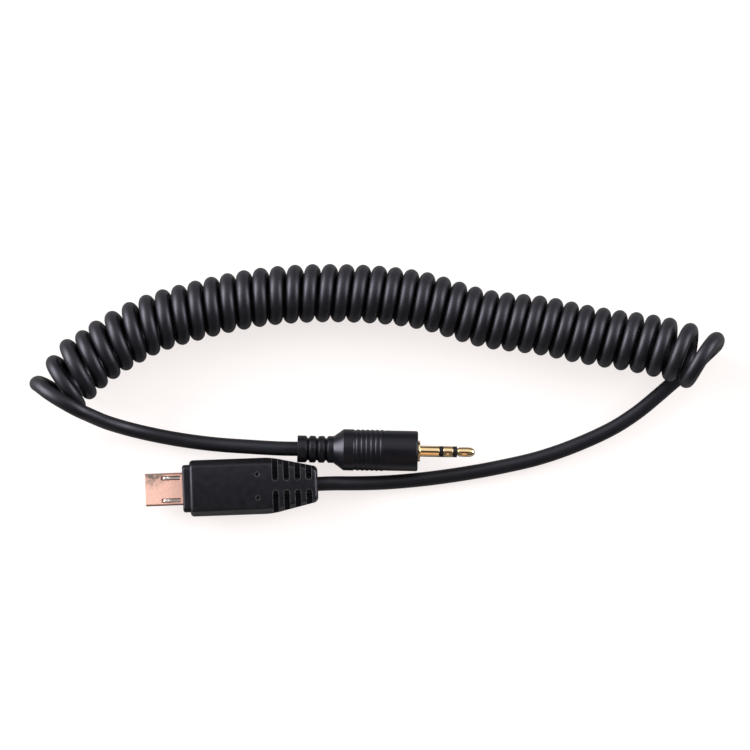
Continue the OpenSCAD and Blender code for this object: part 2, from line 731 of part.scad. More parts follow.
// The flex slots of one side and one face of the tail
module flex_cut(side, face) {
    difference() {
        for (i = [0:flex_slots - 1]) {
            x = housing_body_l + 0.85 + i * flex_pitch;
            y = (flex_web + flex_w) / 2;
            foot = face > 0 ? flex_spine / 2 : -flex_spine / 2 - housing_h;
            translate([x, side * y, foot]) cylinder(h = housing_h, r = flex_w / 2, $fn = 12);
            translate([x - flex_w / 2, side > 0 ? y : -y - housing_w, foot])
                cube([flex_w, housing_w, housing_h]);
        }
        translate([housing_body_l - past, 0, 0]) rotate([0, 90, 0])
            cylinder(h = housing_tail_l + 2 * past, r = flex_core_d / 2, $fn = 12);
    }
}

module terminal_housing() {
    full = rounded_rect(housing_w, housing_h, housing_edge);
    front = rounded_rect(housing_w - 2 * front_slope, housing_h - 2 * front_slope,
        housing_edge - front_slope / 2);
    tail = rounded_rect(tail_w, tail_h, housing_edge);
    thin = 0.05;
    color("#1b1c1f") at_terminal() difference() {
        union() {
            hull() {
                draw_out(0, thin, front);
                draw_out(front_slope - thin, thin, full);
            }
            draw_out(front_slope, housing_body_l - front_slope, full);
            hull() {
                draw_out(housing_body_l, thin, full);
                draw_out(housing_l - thin, thin, tail);
            }
        }
        block(-past, mould_l + past, mould_w, mould_h);
        rod(mould_l - past, housing_l + past, cord_bore_r);
        for (side = [-1, 1], face = [-1, 1]) {
            flex_cut(side, face);
        }
        for (side = [-1, 1]) {
            translate([15.4, side * dimple_y, housing_h / 2 - dimple_deep])
                cylinder(h = dimple_deep + past, r = dimple_d / 2, $fn = 12);
        }
    }
}

// ---- The cord ----------------------------------------------------------------------------

module jack_lead() {
    color("#22242a") cord_tube(route(jack_route, lead_steps, [-1, 0, 0], coil_way(coil_first)),
        [-1, 0, 0], coil_way(coil_first), [0, 0, 1]);
}

module cord_coil() {
    color("#22242a") skin(coil_rings);
}

module terminal_lead() {
    color("#22242a") cord_tube(route(terminal_route, lead_steps, coil_way(coil_last), -terminal_way),
        coil_way(coil_last), -terminal_way, outwards(coil_last));
}

jack_tip();
jack_front_insulator();
jack_ring();
jack_rear_insulator();
jack_sleeve();
jack_tip_lug();
jack_ring_lug();
jack_sleeve_lug();
jack_front_washer();
jack_rear_washer();
jack_focus_wire();
jack_shutter_wire();
jack_ground_wire();
jack_inner_mould();
jack_housing();
terminal_shell();
terminal_insulator();
upper_contacts();
lower_contacts();
left_latch();
right_latch();
terminal_collar();
terminal_cord_clamp();
terminal_focus_wire();
terminal_shutter_wire();
terminal_ground_wire();
terminal_inner_mould();
terminal_housing();
jack_lead();
cord_coil();
terminal_lead();
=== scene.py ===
"""Looks of a coiled cable shutter release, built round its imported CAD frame.

The cord is one tube from plug to plug. The jack plug is turned about its axis, and the flat
terminal plug is moulded and drawn. Sizes are in millimetres until they reach a mesh.
"""

import logging
from collections.abc import Sequence
from dataclasses import dataclass, field
from enum import Enum
from math import cos, pi, radians, sin

import bmesh
import bpy
from mathutils import Matrix, Vector

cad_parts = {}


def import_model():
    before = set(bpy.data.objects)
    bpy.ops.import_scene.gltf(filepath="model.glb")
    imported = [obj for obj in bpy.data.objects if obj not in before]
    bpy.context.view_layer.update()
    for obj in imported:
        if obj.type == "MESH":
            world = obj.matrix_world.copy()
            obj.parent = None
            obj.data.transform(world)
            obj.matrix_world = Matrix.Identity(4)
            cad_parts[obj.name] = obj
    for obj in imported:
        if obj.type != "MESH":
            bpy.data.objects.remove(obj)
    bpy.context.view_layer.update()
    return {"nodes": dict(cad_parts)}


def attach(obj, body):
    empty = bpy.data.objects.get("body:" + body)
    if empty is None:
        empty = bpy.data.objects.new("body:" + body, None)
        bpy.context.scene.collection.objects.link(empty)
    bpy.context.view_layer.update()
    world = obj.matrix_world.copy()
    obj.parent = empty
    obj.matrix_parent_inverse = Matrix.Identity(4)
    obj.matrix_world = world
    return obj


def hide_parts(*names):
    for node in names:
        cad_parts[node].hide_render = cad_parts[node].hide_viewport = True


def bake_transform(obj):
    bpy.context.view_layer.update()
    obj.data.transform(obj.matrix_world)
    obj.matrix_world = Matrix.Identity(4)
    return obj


LOG = logging.getLogger("shutter_release")
MM = 0.001
TINY = 1e-6  # tolerance of places, in metres
OVERLAP = 1.0  # how far a cutting or joining shape reaches past a face

Colour = tuple[float, float, float]
Point = tuple[float, float, float]
Pair = tuple[float, float]
Profile = list[Pair]

JACK_PLACE: Point = (-2.75, 5.55, 4.7)
TERMINAL_PLACE: Point = (-27.0, -3.95, 4.1)
TERMINAL_TURN = 3.2
CORD_BORE = 1.66


class Side(Enum):
    """The two sides of the flat plug, seen from behind it."""

    LEFT = 1
    RIGHT = -1


class Slot(Enum):
    """Names of material slots, which this script doesn't use."""

    PIN = "gold_pin"
    COLLAR = "collar_black"
    JACK_HOUSING = "jack_housing_black"
    SHELL = "rose_shell"
    LATCH = "latch_steel"
    TERMINAL_COLLAR = "collar_plastic"
    TERMINAL_HOUSING = "terminal_housing_black"
    CORD = "cord_jacket"


# ---- Node trees --------------------------------------------------------------------------------


class Tree:
    """A node tree under construction."""

    def __init__(self, tree: bpy.types.NodeTree) -> None:
        """Keeps the tree that is built.

        Args:
            tree: An empty node tree.
        """
        self.tree = tree

    def add(self, kind: str, **values: object) -> bpy.types.Node:
        """Adds a node.

        Args:
            kind: The node's type, without its ShaderNode prefix where it has one.
            values: Properties of the node, or values of its inputs by name.

        Returns:
            The new node.
        """
        prefix = "" if kind.startswith("Node") else "ShaderNode"
        node = self.tree.nodes.new(prefix + kind)
        for name, value in values.items():
            if hasattr(node, name):
                setattr(node, name, value)
            else:
                node.inputs[name.replace("_", " ")].default_value = value
        return node

    def link(self, start: bpy.types.NodeSocket, end: bpy.types.NodeSocket) -> None:
        """Joins an output to an input."""
        self.tree.links.new(start, end)

    def math(self, operation: str, *terms: object) -> bpy.types.NodeSocket:
        """Adds a Math node that works on numbers and sockets.

        Args:
            operation: Blender's name of the operation.
            terms: Numbers or output sockets, in the node's order.

        Returns:
            The result's socket.
        """
        node = self.add("Math", operation=operation)
        for slot, term in zip(node.inputs, terms):
            if isinstance(term, bpy.types.NodeSocket):
                self.link(term, slot)
            else:
                slot.default_value = term
        return node.outputs[0]

    def blend(self, share: bpy.types.NodeSocket, low: object, high: object) -> bpy.types.NodeSocket:
        """Mixes two colours.

        Args:
            share: How much of the second colour shows.
            low: First colour, or an output socket.
            high: Second colour, or an output socket.

        Returns:
            The mixed colour's socket.
        """
        node = self.add("Mix", data_type="RGBA", clamp_factor=True)
        self.link(share, node.inputs[0])
        for slot, term in ((node.inputs[6], low), (node.inputs[7], high)):
            if isinstance(term, bpy.types.NodeSocket):
                self.link(term, slot)
            else:
                slot.default_value = (*term, 1.0)
        return node.outputs[2]

    def span(
        self, value: bpy.types.NodeSocket, low: Pair, high: Pair, kind: str = "LINEAR"
    ) -> bpy.types.NodeSocket:
        """Maps a value between two points (value, result), clamped outside them.

        Args:
            value: The socket that is mapped.
            low: The point at the lower value.
            high: The point at the higher value.
            kind: Blender's name of the way between them.

        Returns:
            The result's socket.
        """
        node = self.add("MapRange", clamp=True, interpolation_type=kind)
        (node.inputs[1].default_value, node.inputs[3].default_value) = low
        (node.inputs[2].default_value, node.inputs[4].default_value) = high
        self.link(value, node.inputs[0])
        return node.outputs[0]


def new_group(
    name: str, inputs: dict[str, float], outputs: dict[str, str]
) -> tuple[Tree, bpy.types.Node, bpy.types.Node]:
    """Starts a shader node group with a Vector input.

    Args:
        name: The group's name.
        inputs: Float inputs and their defaults.
        outputs: Outputs and their socket types.

    Returns:
        The tree, its input node and its output node.
    """
    group = bpy.data.node_groups.new(name, "ShaderNodeTree")
    group.interface.new_socket("Vector", in_out="INPUT", socket_type="NodeSocketVector")
    for label, value in inputs.items():
        socket = group.interface.new_socket(label, in_out="INPUT", socket_type="NodeSocketFloat")
        socket.default_value = value
    for label, kind in outputs.items():
        group.interface.new_socket(label, in_out="OUTPUT", socket_type=kind)
    tree = Tree(group)
    return tree, tree.add("NodeGroupInput"), tree.add("NodeGroupOutput")


def make_grain_group() -> bpy.types.NodeTree:
    """Makes the fine texture of a moulded or blasted face.

    Returns:
        A group with a Height from grains of the given pitch.
    """
    tree, start, end = new_group("fine_grain", {"Pitch": 0.15}, {"Height": "NodeSocketFloat"})
    scale = tree.math("DIVIDE", 1 / MM, start.outputs["Pitch"])
    coarse = tree.add("TexNoise", Detail=2.0, Roughness=0.55)
    pits = tree.add("TexVoronoi", feature="F1")
    for node in (coarse, pits):
        tree.link(start.outputs["Vector"], node.inputs["Vector"])
        tree.link(scale, node.inputs["Scale"])
    pitted = tree.math("MULTIPLY", pits.outputs["Distance"], 0.35)
    tree.link(tree.math("MULTIPLY_ADD", coarse.outputs[0], 0.65, pitted), end.inputs["Height"])
    return tree.tree


def make_mottle_group() -> bpy.types.NodeTree:
    """Makes the uneven tone that handling leaves on a face.

    Returns:
        A group with a Mask from 0 to 1 in soft patches of the given size.
    """
    tree, start, end = new_group("soft_mottle", {"Patch": 3.0, "Contrast": 1.5}, {"Mask": "NodeSocketFloat"})
    noise = tree.add("TexNoise", Detail=4.0, Roughness=0.6)
    tree.link(start.outputs["Vector"], noise.inputs["Vector"])
    tree.link(tree.math("DIVIDE", 1 / MM, start.outputs["Patch"]), noise.inputs["Scale"])
    centred = tree.math("MULTIPLY", tree.math("SUBTRACT", noise.outputs[0], 0.5), start.outputs["Contrast"])
    clamped = tree.add("Clamp")
    tree.link(tree.math("ADD", centred, 0.5), clamped.inputs[0])
    tree.link(clamped.outputs[0], end.inputs["Mask"])
    return tree.tree


def make_edge_group() -> bpy.types.NodeTree:
    """Makes the mask of lighter outer edges: scuffing, and on the flat plug's housing a painted highlight.

    Returns:
        A group with a Mask that is 1 on edges, broken up by noise.
    """
    tree, start, end = new_group("edge_wear_and_highlight_mask", {"Gain": 6.0, "Width": 0.12}, {"Mask": "NodeSocketFloat"})
    rounded = tree.add("Bevel", samples=4)
    tree.link(tree.math("MULTIPLY", start.outputs["Width"], MM), rounded.inputs["Radius"])
    flat = tree.add("NewGeometry")
    product = tree.add("VectorMath", operation="DOT_PRODUCT")
    tree.link(rounded.outputs[0], product.inputs[0])
    tree.link(flat.outputs["Normal"], product.inputs[1])
    bend = tree.math("SUBTRACT", 1.0, product.outputs["Value"])
    noise = tree.add("TexNoise", Scale=0.9 / MM, Detail=3.0)
    tree.link(start.outputs["Vector"], noise.inputs["Vector"])
    broken = tree.math("MULTIPLY", bend, tree.math("MULTIPLY", noise.outputs[0], start.outputs["Gain"]))
    clamped = tree.add("Clamp")
    tree.link(broken, clamped.inputs[0])
    tree.link(clamped.outputs[0], end.inputs["Mask"])
    return tree.tree


class Effects:
    """The node groups that the finishes share."""

    def __init__(self) -> None:
        """Builds each group once."""
        self.grain = make_grain_group()
        self.mottle = make_mottle_group()
        self.edges = make_edge_group()

    def place(
        self, tree: Tree, group: bpy.types.NodeTree, vector: bpy.types.NodeSocket, **values: float
    ) -> bpy.types.NodeSocket:
        """Places a group in a material.

        Args:
            tree: The material's tree.
            group: One of the shared groups.
            vector: The coordinates that it reads.
            values: Its float inputs.

        Returns:
            The group's one output.
        """
        node = tree.add("Group", node_tree=group)
        tree.link(vector, node.inputs["Vector"])
        for name, value in values.items():
            node.inputs[name].default_value = value
        return node.outputs[0]


# ---- Finishes ----------------------------------------------------------------------------------


def start_material(name: str) -> tuple[bpy.types.Material, Tree, bpy.types.Node]:
    """Starts a material with a Principled shader.

    Args:
        name: The material's name.

    Returns:
        The material, its tree and its shader.
    """
    material = bpy.data.materials.new(name)
    material.use_nodes = True
    material.node_tree.nodes.clear()
    tree = Tree(material.node_tree)
    shader = tree.add("BsdfPrincipled")
    output = tree.add("OutputMaterial")
    tree.link(shader.outputs[0], output.inputs[0])
    return material, tree, shader


def set_gloss(shader: bpy.types.Node, level: float, tint: Colour) -> None:
    """Sets how strong the gloss of a plastic is, and its tint."""
    shader.inputs["Specular IOR Level"].default_value = level
    shader.inputs["Specular Tint"].default_value = (*tint, 1.0)


def add_bump(tree: Tree, shader: bpy.types.Node, height: bpy.types.NodeSocket, depth: float) -> None:
    """Gives a shader relief.

    Args:
        tree: The material's tree.
        shader: The shader that gets the normal.
        height: The relief, from 0 to 1.
        depth: Its depth in millimetres.
    """
    bump = tree.add("Bump", Strength=1.0, Distance=depth * MM)
    tree.link(height, bump.inputs["Height"])
    tree.link(bump.outputs[0], shader.inputs["Normal"])


def add_roughness(
    tree: Tree, shader: bpy.types.Node, least: float, *parts: tuple[bpy.types.NodeSocket, float]
) -> None:
    """Gives a shader a roughness that varies over the face.

    Args:
        tree: The material's tree.
        shader: The shader that gets it.
        least: The roughness where every mask is 0.
        parts: Masks, and how much each adds.
    """
    rough: object = least
    for mask, share in parts:
        rough = tree.math("MULTIPLY_ADD", mask, share, rough)
    tree.link(rough, shader.inputs["Roughness"])


@dataclass(frozen=True)
class Plastic:
    """A moulded plastic or rubber.

    Attributes:
        name: The material's name.
        colour: Its main colour.
        faded: Its colour where it is handled.
        roughness: Its least roughness.
        spread: How far its roughness varies.
        grain: Pitch of its texture in millimetres.
        relief: Depth of its texture in millimetres.
        grain_spread: How far its texture varies its roughness.
        patch: Size of its uneven patches in millimetres.
        contrast: How strongly the patches show.
        edge_wear_and_highlight: Colour of its lighter edges, scuffed, and on the flat plug's housing a
            painted highlight.
        rim: Width of those lighter edges in millimetres.
        edge_strength: How strongly those lighter edges show.
        shine: Specular level of its face.
        tint: Tint of its gloss.
    """

    name: str
    colour: Colour
    faded: Colour
    roughness: float = 0.4
    spread: float = 0.12
    grain: float = 0.15
    relief: float = 0.008
    grain_spread: float = 0.08
    patch: float = 4.0
    contrast: float = 1.6
    edge_wear_and_highlight: Colour = (0.09, 0.09, 0.1)
    rim: float = 0.12
    edge_strength: float = 5.0
    shine: float = 0.4
    tint: Colour = (0.88, 0.86, 1.0)

    def build(self, effects: Effects) -> bpy.types.Material:
        """Makes the material.

        Args:
            effects: The shared node groups.

        Returns:
            The material.
        """
        material, tree, shader = start_material(self.name)
        set_gloss(shader, self.shine, self.tint)
        place = tree.add("TexCoord").outputs["Object"]
        mottle = effects.place(tree, effects.mottle, place, Patch=self.patch, Contrast=self.contrast)
        edges = effects.place(tree, effects.edges, place, Gain=self.edge_strength, Width=self.rim)
        grain = effects.place(tree, effects.grain, place, Pitch=self.grain)
        body = tree.blend(mottle, self.colour, self.faded)
        # Lighter edges: scuffing, and on the flat plug's housing a painted highlight.
        tree.link(tree.blend(edges, body, self.edge_wear_and_highlight), shader.inputs["Base Color"])
        add_roughness(tree, shader, self.roughness, (mottle, self.spread), (grain, self.grain_spread))
        add_bump(tree, shader, grain, self.relief)
        return material


@dataclass(frozen=True)
class Plating:
    """A plated or bare metal.

    Attributes:
        name: The material's name.
        colour: Colour of the clean metal.
        dull: Colour where it is tarnished.
        roughness: Its least roughness.
        spread: How far its roughness varies.
        brushed: How much the scratches are drawn out, along X, Y and Z.
        scratch: Width of a scratch in millimetres.
        relief: Depth of a scratch in millimetres.
        scratch_spread: How far the scratches vary its roughness.
        patch: Size of its uneven patches in millimetres.
        contrast: How strongly the patches show.
    """

    name: str
    colour: Colour
    dull: Colour
    roughness: float = 0.2
    spread: float = 0.15
    brushed: Point = (1.0, 1.0, 1.0)
    scratch: float = 0.08
    relief: float = 0.002
    scratch_spread: float = 0.06
    patch: float = 1.5
    contrast: float = 1.5

    def build(self, effects: Effects) -> bpy.types.Material:
        """Makes the material.

        Args:
            effects: The shared node groups.

        Returns:
            The material.
        """
        material, tree, shader = start_material(self.name)
        shader.inputs["Metallic"].default_value = 1.0
        place = tree.add("TexCoord").outputs["Object"]
        drawn = tree.add("Mapping", Scale=self.brushed)
        tree.link(place, drawn.inputs["Vector"])
        mottle = effects.place(tree, effects.mottle, place, Patch=self.patch, Contrast=self.contrast)
        scratches = effects.place(tree, effects.grain, drawn.outputs[0], Pitch=self.scratch)
        tree.link(tree.blend(mottle, self.colour, self.dull), shader.inputs["Base Color"])
        parts = (mottle, self.spread), (scratches, self.scratch_spread)
        add_roughness(tree, shader, self.roughness, *parts)
        add_bump(tree, shader, scratches, self.relief)
        return material


@dataclass(frozen=True)
class DrawnShell:
    """Plated sheet metal with fine specks, a tarnished corner and painted shade along its long edges.

    Attributes:
        name: The material's name.
        colour: Colour of the clean plating.
        speck: Colour of the specks.
        specks: Size of the specks in millimetres, and their contrast.
        speck_share: How much of their colour the specks show.
        tarnish: Colour of the tarnished corner.
        clouds: Size of the tarnish's patches in millimetres, and their contrast.
        tarnish_gain: How strong the tarnish is at the corner.
        corner: Place of the corner in millimetres.
        reach: How far the tarnish reaches in millimetres.
        metal: How much of it shines as metal, the rest being the satin of the plating.
        way: Direction across the shell.
        middle: Place of its middle along that direction, in millimetres.
        half: Half of its width in millimetres.
        edge_shade: Colour of the painted shade along its rounded long edges.
        brink: How far inside its sides the painted shade begins and is full, in millimetres.
        edge_shade_share: How much of its colour the full painted shade shows.
        roughness: Its least roughness.
        spread: How far the specks and the tarnish vary its roughness.
        grain: Pitch of its texture in millimetres.
        relief: Depth of its texture in millimetres.
    """

    name: str = "rose_plating"
    colour: Colour = (0.95, 0.6, 0.49)
    speck: Colour = (0.78, 0.43, 0.33)
    specks: Pair = (0.28, 3.4)
    speck_share: float = 0.8
    tarnish: Colour = (0.17, 0.125, 0.105)
    clouds: Pair = (1.2, 2.2)
    tarnish_gain: float = 2.2
    corner: Point = (-35.6, -0.7, 5.5)
    reach: float = 3.9
    metal: float = 0.15
    way: Point = (-0.0558, 0.9984, 0.0)
    middle: float = -2.44
    half: float = 3.7
    edge_shade: Colour = (0.2, 0.1, 0.07)
    brink: Pair = (0.55, 0.25)
    edge_shade_share: float = 0.95
    roughness: float = 0.3
    spread: Pair = (0.14, 0.25)
    grain: float = 0.1
    relief: float = 0.004

    def build(self, effects: Effects) -> bpy.types.Material:
        """Makes the material.

        Args:
            effects: The shared node groups.

        Returns:
            The material.
        """
        material, tree, shader = start_material(self.name)
        shader.inputs["Metallic"].default_value = self.metal
        place = tree.add("TexCoord").outputs["Object"]
        specks, clouds = (
            effects.place(tree, effects.mottle, place, Patch=patch, Contrast=contrast)
            for patch, contrast in (self.specks, self.clouds)
        )
        distance = tree.add("VectorMath", operation="DISTANCE")
        tree.link(place, distance.inputs[0])
        distance.inputs[1].default_value = [MM * value for value in self.corner]
        near = tree.span(distance.outputs["Value"], (0.0, 1.0), (self.reach * MM, 0.0))
        stain = tree.math("MULTIPLY", near, tree.math("MULTIPLY", clouds, self.tarnish_gain))
        plated = tree.blend(tree.math("MULTIPLY", specks, self.speck_share), self.colour, self.speck)
        # Painted shade: the plating darkens towards both long edges, standing for the shade on its rounded
        # edges.
        across = tree.add("VectorMath", operation="DOT_PRODUCT")
        tree.link(place, across.inputs[0])
        across.inputs[1].default_value = self.way
        off = tree.math("ABSOLUTE", tree.math("SUBTRACT", across.outputs["Value"], self.middle * MM))
        start, full = ((self.half - inset) * MM for inset in self.brink)
        edge_strength = tree.math("MULTIPLY", tree.span(off, (start, 0.0), (full, 1.0)), self.edge_shade_share)
        edge_shaded = tree.blend(edge_strength, plated, self.edge_shade)
        tree.link(tree.blend(stain, edge_shaded, self.tarnish), shader.inputs["Base Color"])
        add_roughness(tree, shader, self.roughness, *zip((specks, stain), self.spread))
        add_bump(tree, shader, effects.place(tree, effects.grain, place, Pitch=self.grain), self.relief)
        return material


@dataclass(frozen=True)
class Jacket:
    """The cord's extruded jacket, whose pattern follows its UV map.

    Attributes:
        name: The material's name.
        colour: Its main colour.
        faded: Its colour where it is scuffed.
        roughness: Its least roughness.
        spread: How far its patches and its drawn lines vary its roughness.
        patch: Size of its uneven patches in millimetres.
        contrast: How strongly the patches show.
        drawn: How much its lines are drawn out along the cord and round it.
        line: Pitch of the lines in millimetres.
        relief: Depth of the lines in millimetres.
        shine: Specular level of its face.
        tint: Tint of its gloss.
    """

    name: str = "cord_jacket"
    colour: Colour = (0.0031, 0.0032, 0.0044)
    faded: Colour = (0.0056, 0.0058, 0.0074)
    roughness: float = 0.39
    spread: Pair = (0.08, 0.06)
    patch: float = 5.0
    contrast: float = 1.4
    drawn: Point = (0.12, 1.0, 1.0)
    line: float = 0.35
    relief: float = 0.008
    shine: float = 0.44
    tint: Colour = (0.88, 0.86, 1.0)

    def build(self, effects: Effects) -> bpy.types.Material:
        """Makes the material.

        Args:
            effects: The shared node groups.

        Returns:
            The material.
        """
        material, tree, shader = start_material(self.name)
        set_gloss(shader, self.shine, self.tint)
        around = tree.add("UVMap", uv_map=Cord.uv_name).outputs[0]
        place = tree.add("TexCoord").outputs["Object"]
        mottle = effects.place(tree, effects.mottle, place, Patch=self.patch, Contrast=self.contrast)
        drawn = tree.add("Mapping", Scale=self.drawn)
        tree.link(around, drawn.inputs["Vector"])
        lines = effects.place(tree, effects.grain, drawn.outputs[0], Pitch=self.line)
        tree.link(tree.blend(mottle, self.colour, self.faded), shader.inputs["Base Color"])
        add_roughness(tree, shader, self.roughness, *zip((mottle, lines), self.spread))
        add_bump(tree, shader, lines, self.relief)
        return material


# ---- Meshes ------------------------------------------------------------------------------------


def scaled(*values: float) -> Vector:
    """Turns millimetres into metres."""
    return Vector(values) * MM


def add_object(name: str, data: bpy.types.ID) -> bpy.types.Object:
    """Makes an object of a mesh, curve, lamp or camera and links it to the scene.

    Args:
        name: The object's name.
        data: What it shows.

    Returns:
        The new object.
    """
    piece = bpy.data.objects.new(name, data)
    bpy.context.scene.collection.objects.link(piece)
    return piece


def finish_piece(
    name: str, mesh: bmesh.types.BMesh, place: Matrix, material: bpy.types.Material, smooth: float = 32.0
) -> bpy.types.Object:
    """Turns a bmesh into an object at the origin.

    Args:
        name: The object's name.
        mesh: The shape, freed here.
        place: Where the shape goes.
        material: Its material.
        smooth: Angle in degrees up to which faces shade as one.

    Returns:
        The new object, linked to the scene.
    """
    bmesh.ops.transform(mesh, matrix=place, verts=mesh.verts)
    bmesh.ops.recalc_face_normals(mesh, faces=mesh.faces)
    for face in mesh.faces:
        face.smooth = True
    data = bpy.data.meshes.new(name)
    mesh.to_mesh(data)
    mesh.free()
    data.set_sharp_from_angle(angle=radians(smooth))
    data.materials.append(material)
    return add_object(name, data)


def bevel(mesh: bmesh.types.BMesh, edges: Sequence[bmesh.types.BMEdge], width: float, segments: int) -> None:
    """Rounds the given edges.

    Args:
        mesh: The shape.
        edges: The edges.
        width: Width of the rounding in millimetres.
        segments: Faces across the rounding.
    """
    bmesh.ops.bevel(
        mesh, geom=edges, offset=width * MM, offset_type="OFFSET", segments=segments,
        profile=0.5, affect="EDGES", clamp_overlap=True, material=-1,
    )


def soften(
    mesh: bmesh.types.BMesh, width: float, segments: int, angle: float,
    edges: Sequence[bmesh.types.BMEdge] | None = None,
) -> None:
    """Rounds every edge that bends by more than an angle.

    Args:
        mesh: The shape.
        width: Width of the rounding in millimetres.
        segments: Faces across the rounding.
        angle: Least bend in degrees that counts as an edge.
        edges: Edges to choose from, all of them if left out.
    """
    chosen = [
        edge for edge in edges or mesh.edges
        if len(edge.link_faces) == 2 and edge.calc_face_angle(0.0) > radians(angle)
    ]
    bevel(mesh, chosen, width, segments)


def slice_at(mesh: bmesh.types.BMesh, place: Vector, normal: Point) -> None:
    """Cuts edges into a shape where a plane crosses it.

    Args:
        mesh: The shape.
        place: A point of the plane in metres.
        normal: The plane's normal.
    """
    everything = [*mesh.verts, *mesh.edges, *mesh.faces]
    bmesh.ops.bisect_plane(mesh, geom=everything, plane_co=place, plane_no=normal)


def arc(centre: Pair, radius: float, first: float, last: float, steps: int = 6) -> Profile:
    """Gives points (x, r) on an arc.

    Args:
        centre: The arc's centre (x, r).
        radius: Its radius.
        first: Angle of its first point in degrees, 0 along x and 90 along r.
        last: Angle of its last point.
        steps: Spans between the points.

    Returns:
        The points in order.
    """
    turns = [radians(first + (last - first) * step / steps) for step in range(steps + 1)]
    return [(centre[0] + radius * cos(turn), centre[1] + radius * sin(turn)) for turn in turns]


def lathe(profile: Profile, steps: int) -> bmesh.types.BMesh:
    """Turns a profile about the X axis.

    Args:
        profile: Points (x, r) in millimetres, in order. It is closed unless it ends on the axis.
        steps: Faces round the axis.

    Returns:
        The turned shape.
    """
    mesh = bmesh.new()
    points = [mesh.verts.new(scaled(x, r, 0)) for x, r in profile]
    pairs = list(zip(points, points[1:]))
    if profile[0][1] > 0 or profile[-1][1] > 0:
        pairs.append((points[-1], points[0]))
    edges = [mesh.edges.new(pair) for pair in pairs]
    bmesh.ops.spin(
        mesh, geom=points + edges, cent=(0, 0, 0), axis=(1, 0, 0), angle=2 * pi, steps=steps, use_merge=True
    )
    bmesh.ops.remove_doubles(mesh, verts=mesh.verts, dist=MM * 1e-4)
    bmesh.ops.recalc_face_normals(mesh, faces=mesh.faces)
    return mesh


def rod(start: float, end: float, radius: float, steps: int) -> bmesh.types.BMesh:
    """Makes a plain round rod about the X axis from its ends and radius in millimetres."""
    return lathe([(start, 0), (start, radius), (end, radius), (end, 0)], steps)


def bar(outline: Sequence[Vector], way: Vector) -> bmesh.types.BMesh:
    """Makes a closed bar from the outline of its first end.

    Args:
        outline: The corners of its first end, in metres.
        way: The way from its first end to its last.

    Returns:
        The bar.
    """
    mesh = bmesh.new()
    face = mesh.faces.new([mesh.verts.new(corner) for corner in outline])
    grown = bmesh.ops.extrude_face_region(mesh, geom=[face])
    bmesh.ops.translate(mesh, vec=way, verts=new_verts(grown))
    bmesh.ops.recalc_face_normals(mesh, faces=mesh.faces)
    return mesh


def new_verts(grown: dict) -> list[bmesh.types.BMVert]:
    """Finds the vertices among what an operator made."""
    return [item for item in grown["geom"] if isinstance(item, bmesh.types.BMVert)]


def block(low: Point, high: Point) -> bmesh.types.BMesh:
    """Makes a box.

    Args:
        low: Its lowest corner in millimetres.
        high: Its highest corner.

    Returns:
        The box.
    """
    mesh = bmesh.new()
    bmesh.ops.create_cube(mesh, size=1.0)
    bmesh.ops.scale(mesh, vec=scaled(*high) - scaled(*low), verts=mesh.verts)
    bmesh.ops.translate(mesh, vec=(scaled(*high) + scaled(*low)) / 2, verts=mesh.verts)
    return mesh


def along(mesh: bmesh.types.BMesh, axis: int) -> list[bmesh.types.BMEdge]:
    """Finds the edges that run mostly along an axis."""
    return [
        edge for edge in mesh.edges if abs((edge.verts[1].co - edge.verts[0].co).normalized()[axis]) > 0.7
    ]


def join(target: bmesh.types.BMesh, *others: bmesh.types.BMesh) -> bmesh.types.BMesh:
    """Puts the faces of other shapes into a first one.

    Args:
        target: The first shape.
        others: The other shapes, freed here.

    Returns:
        The first shape.
    """
    for other in others:
        bmesh.ops.recalc_face_normals(other, faces=other.faces)
        carrier = bpy.data.meshes.new("carrier")
        other.to_mesh(carrier)
        other.free()
        target.from_mesh(carrier)
        bpy.data.meshes.remove(carrier)
    return target


def combine(body: bmesh.types.BMesh, tool: bmesh.types.BMesh, operation: str) -> bmesh.types.BMesh:
    """Cuts or joins two closed shapes.

    Args:
        body: The shape that is kept, freed here.
        tool: The other shape, freed here.
        operation: DIFFERENCE or UNION.

    Returns:
        The result.
    """
    pair = []
    for shape in (body, tool):
        bmesh.ops.recalc_face_normals(shape, faces=shape.faces)
        data = bpy.data.meshes.new("operand")
        shape.to_mesh(data)
        shape.free()
        pair.append(add_object("operand", data))
    modifier = pair[0].modifiers.new("cut", "BOOLEAN")
    modifier.object = pair[1]
    modifier.operation = operation
    modifier.solver = "EXACT"
    graph = bpy.context.evaluated_depsgraph_get()
    result = bmesh.new()
    result.from_mesh(pair[0].evaluated_get(graph).to_mesh())
    for piece in pair:
        data = piece.data
        bpy.data.objects.remove(piece)
        bpy.data.meshes.remove(data)
    bmesh.ops.remove_doubles(result, verts=result.verts, dist=MM * 1e-3)
    bmesh.ops.dissolve_limit(
        result, angle_limit=radians(0.5), use_dissolve_boundaries=False,
        verts=result.verts, edges=result.edges,
    )
    return result


def stand_in(
    name: str, mesh: bmesh.types.BMesh, place: Matrix, material: bpy.types.Material,
    body: str, nodes: Sequence[str], smooth: float = 32.0,
) -> bpy.types.Object:
    """Makes a piece that stands for CAD nodes, hangs it on its body's empty and hides those nodes.

    Args:
        name: The piece's name.
        mesh: Its shape, freed here.
        place: Where the shape goes.
        material: Its material.
        body: The body that it moves with.
        nodes: The CAD nodes that it stands for.
        smooth: Angle in degrees up to which its faces shade as one.

    Returns:
        The piece, which shades by its large faces, so that its flats look flat.
    """
    piece = finish_piece(name, mesh, place, material, smooth)
    modifier = piece.modifiers.new("even_normals", "WEIGHTED_NORMAL")
    modifier.keep_sharp = True
    modifier.weight = 80
    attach(piece, body)
    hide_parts(*nodes)
    LOG.info("%s stands for %s, %d faces", piece.name, ", ".join(nodes), len(piece.data.polygons))
    return piece


# ---- Curves through points -----------------------------------------------------------------------


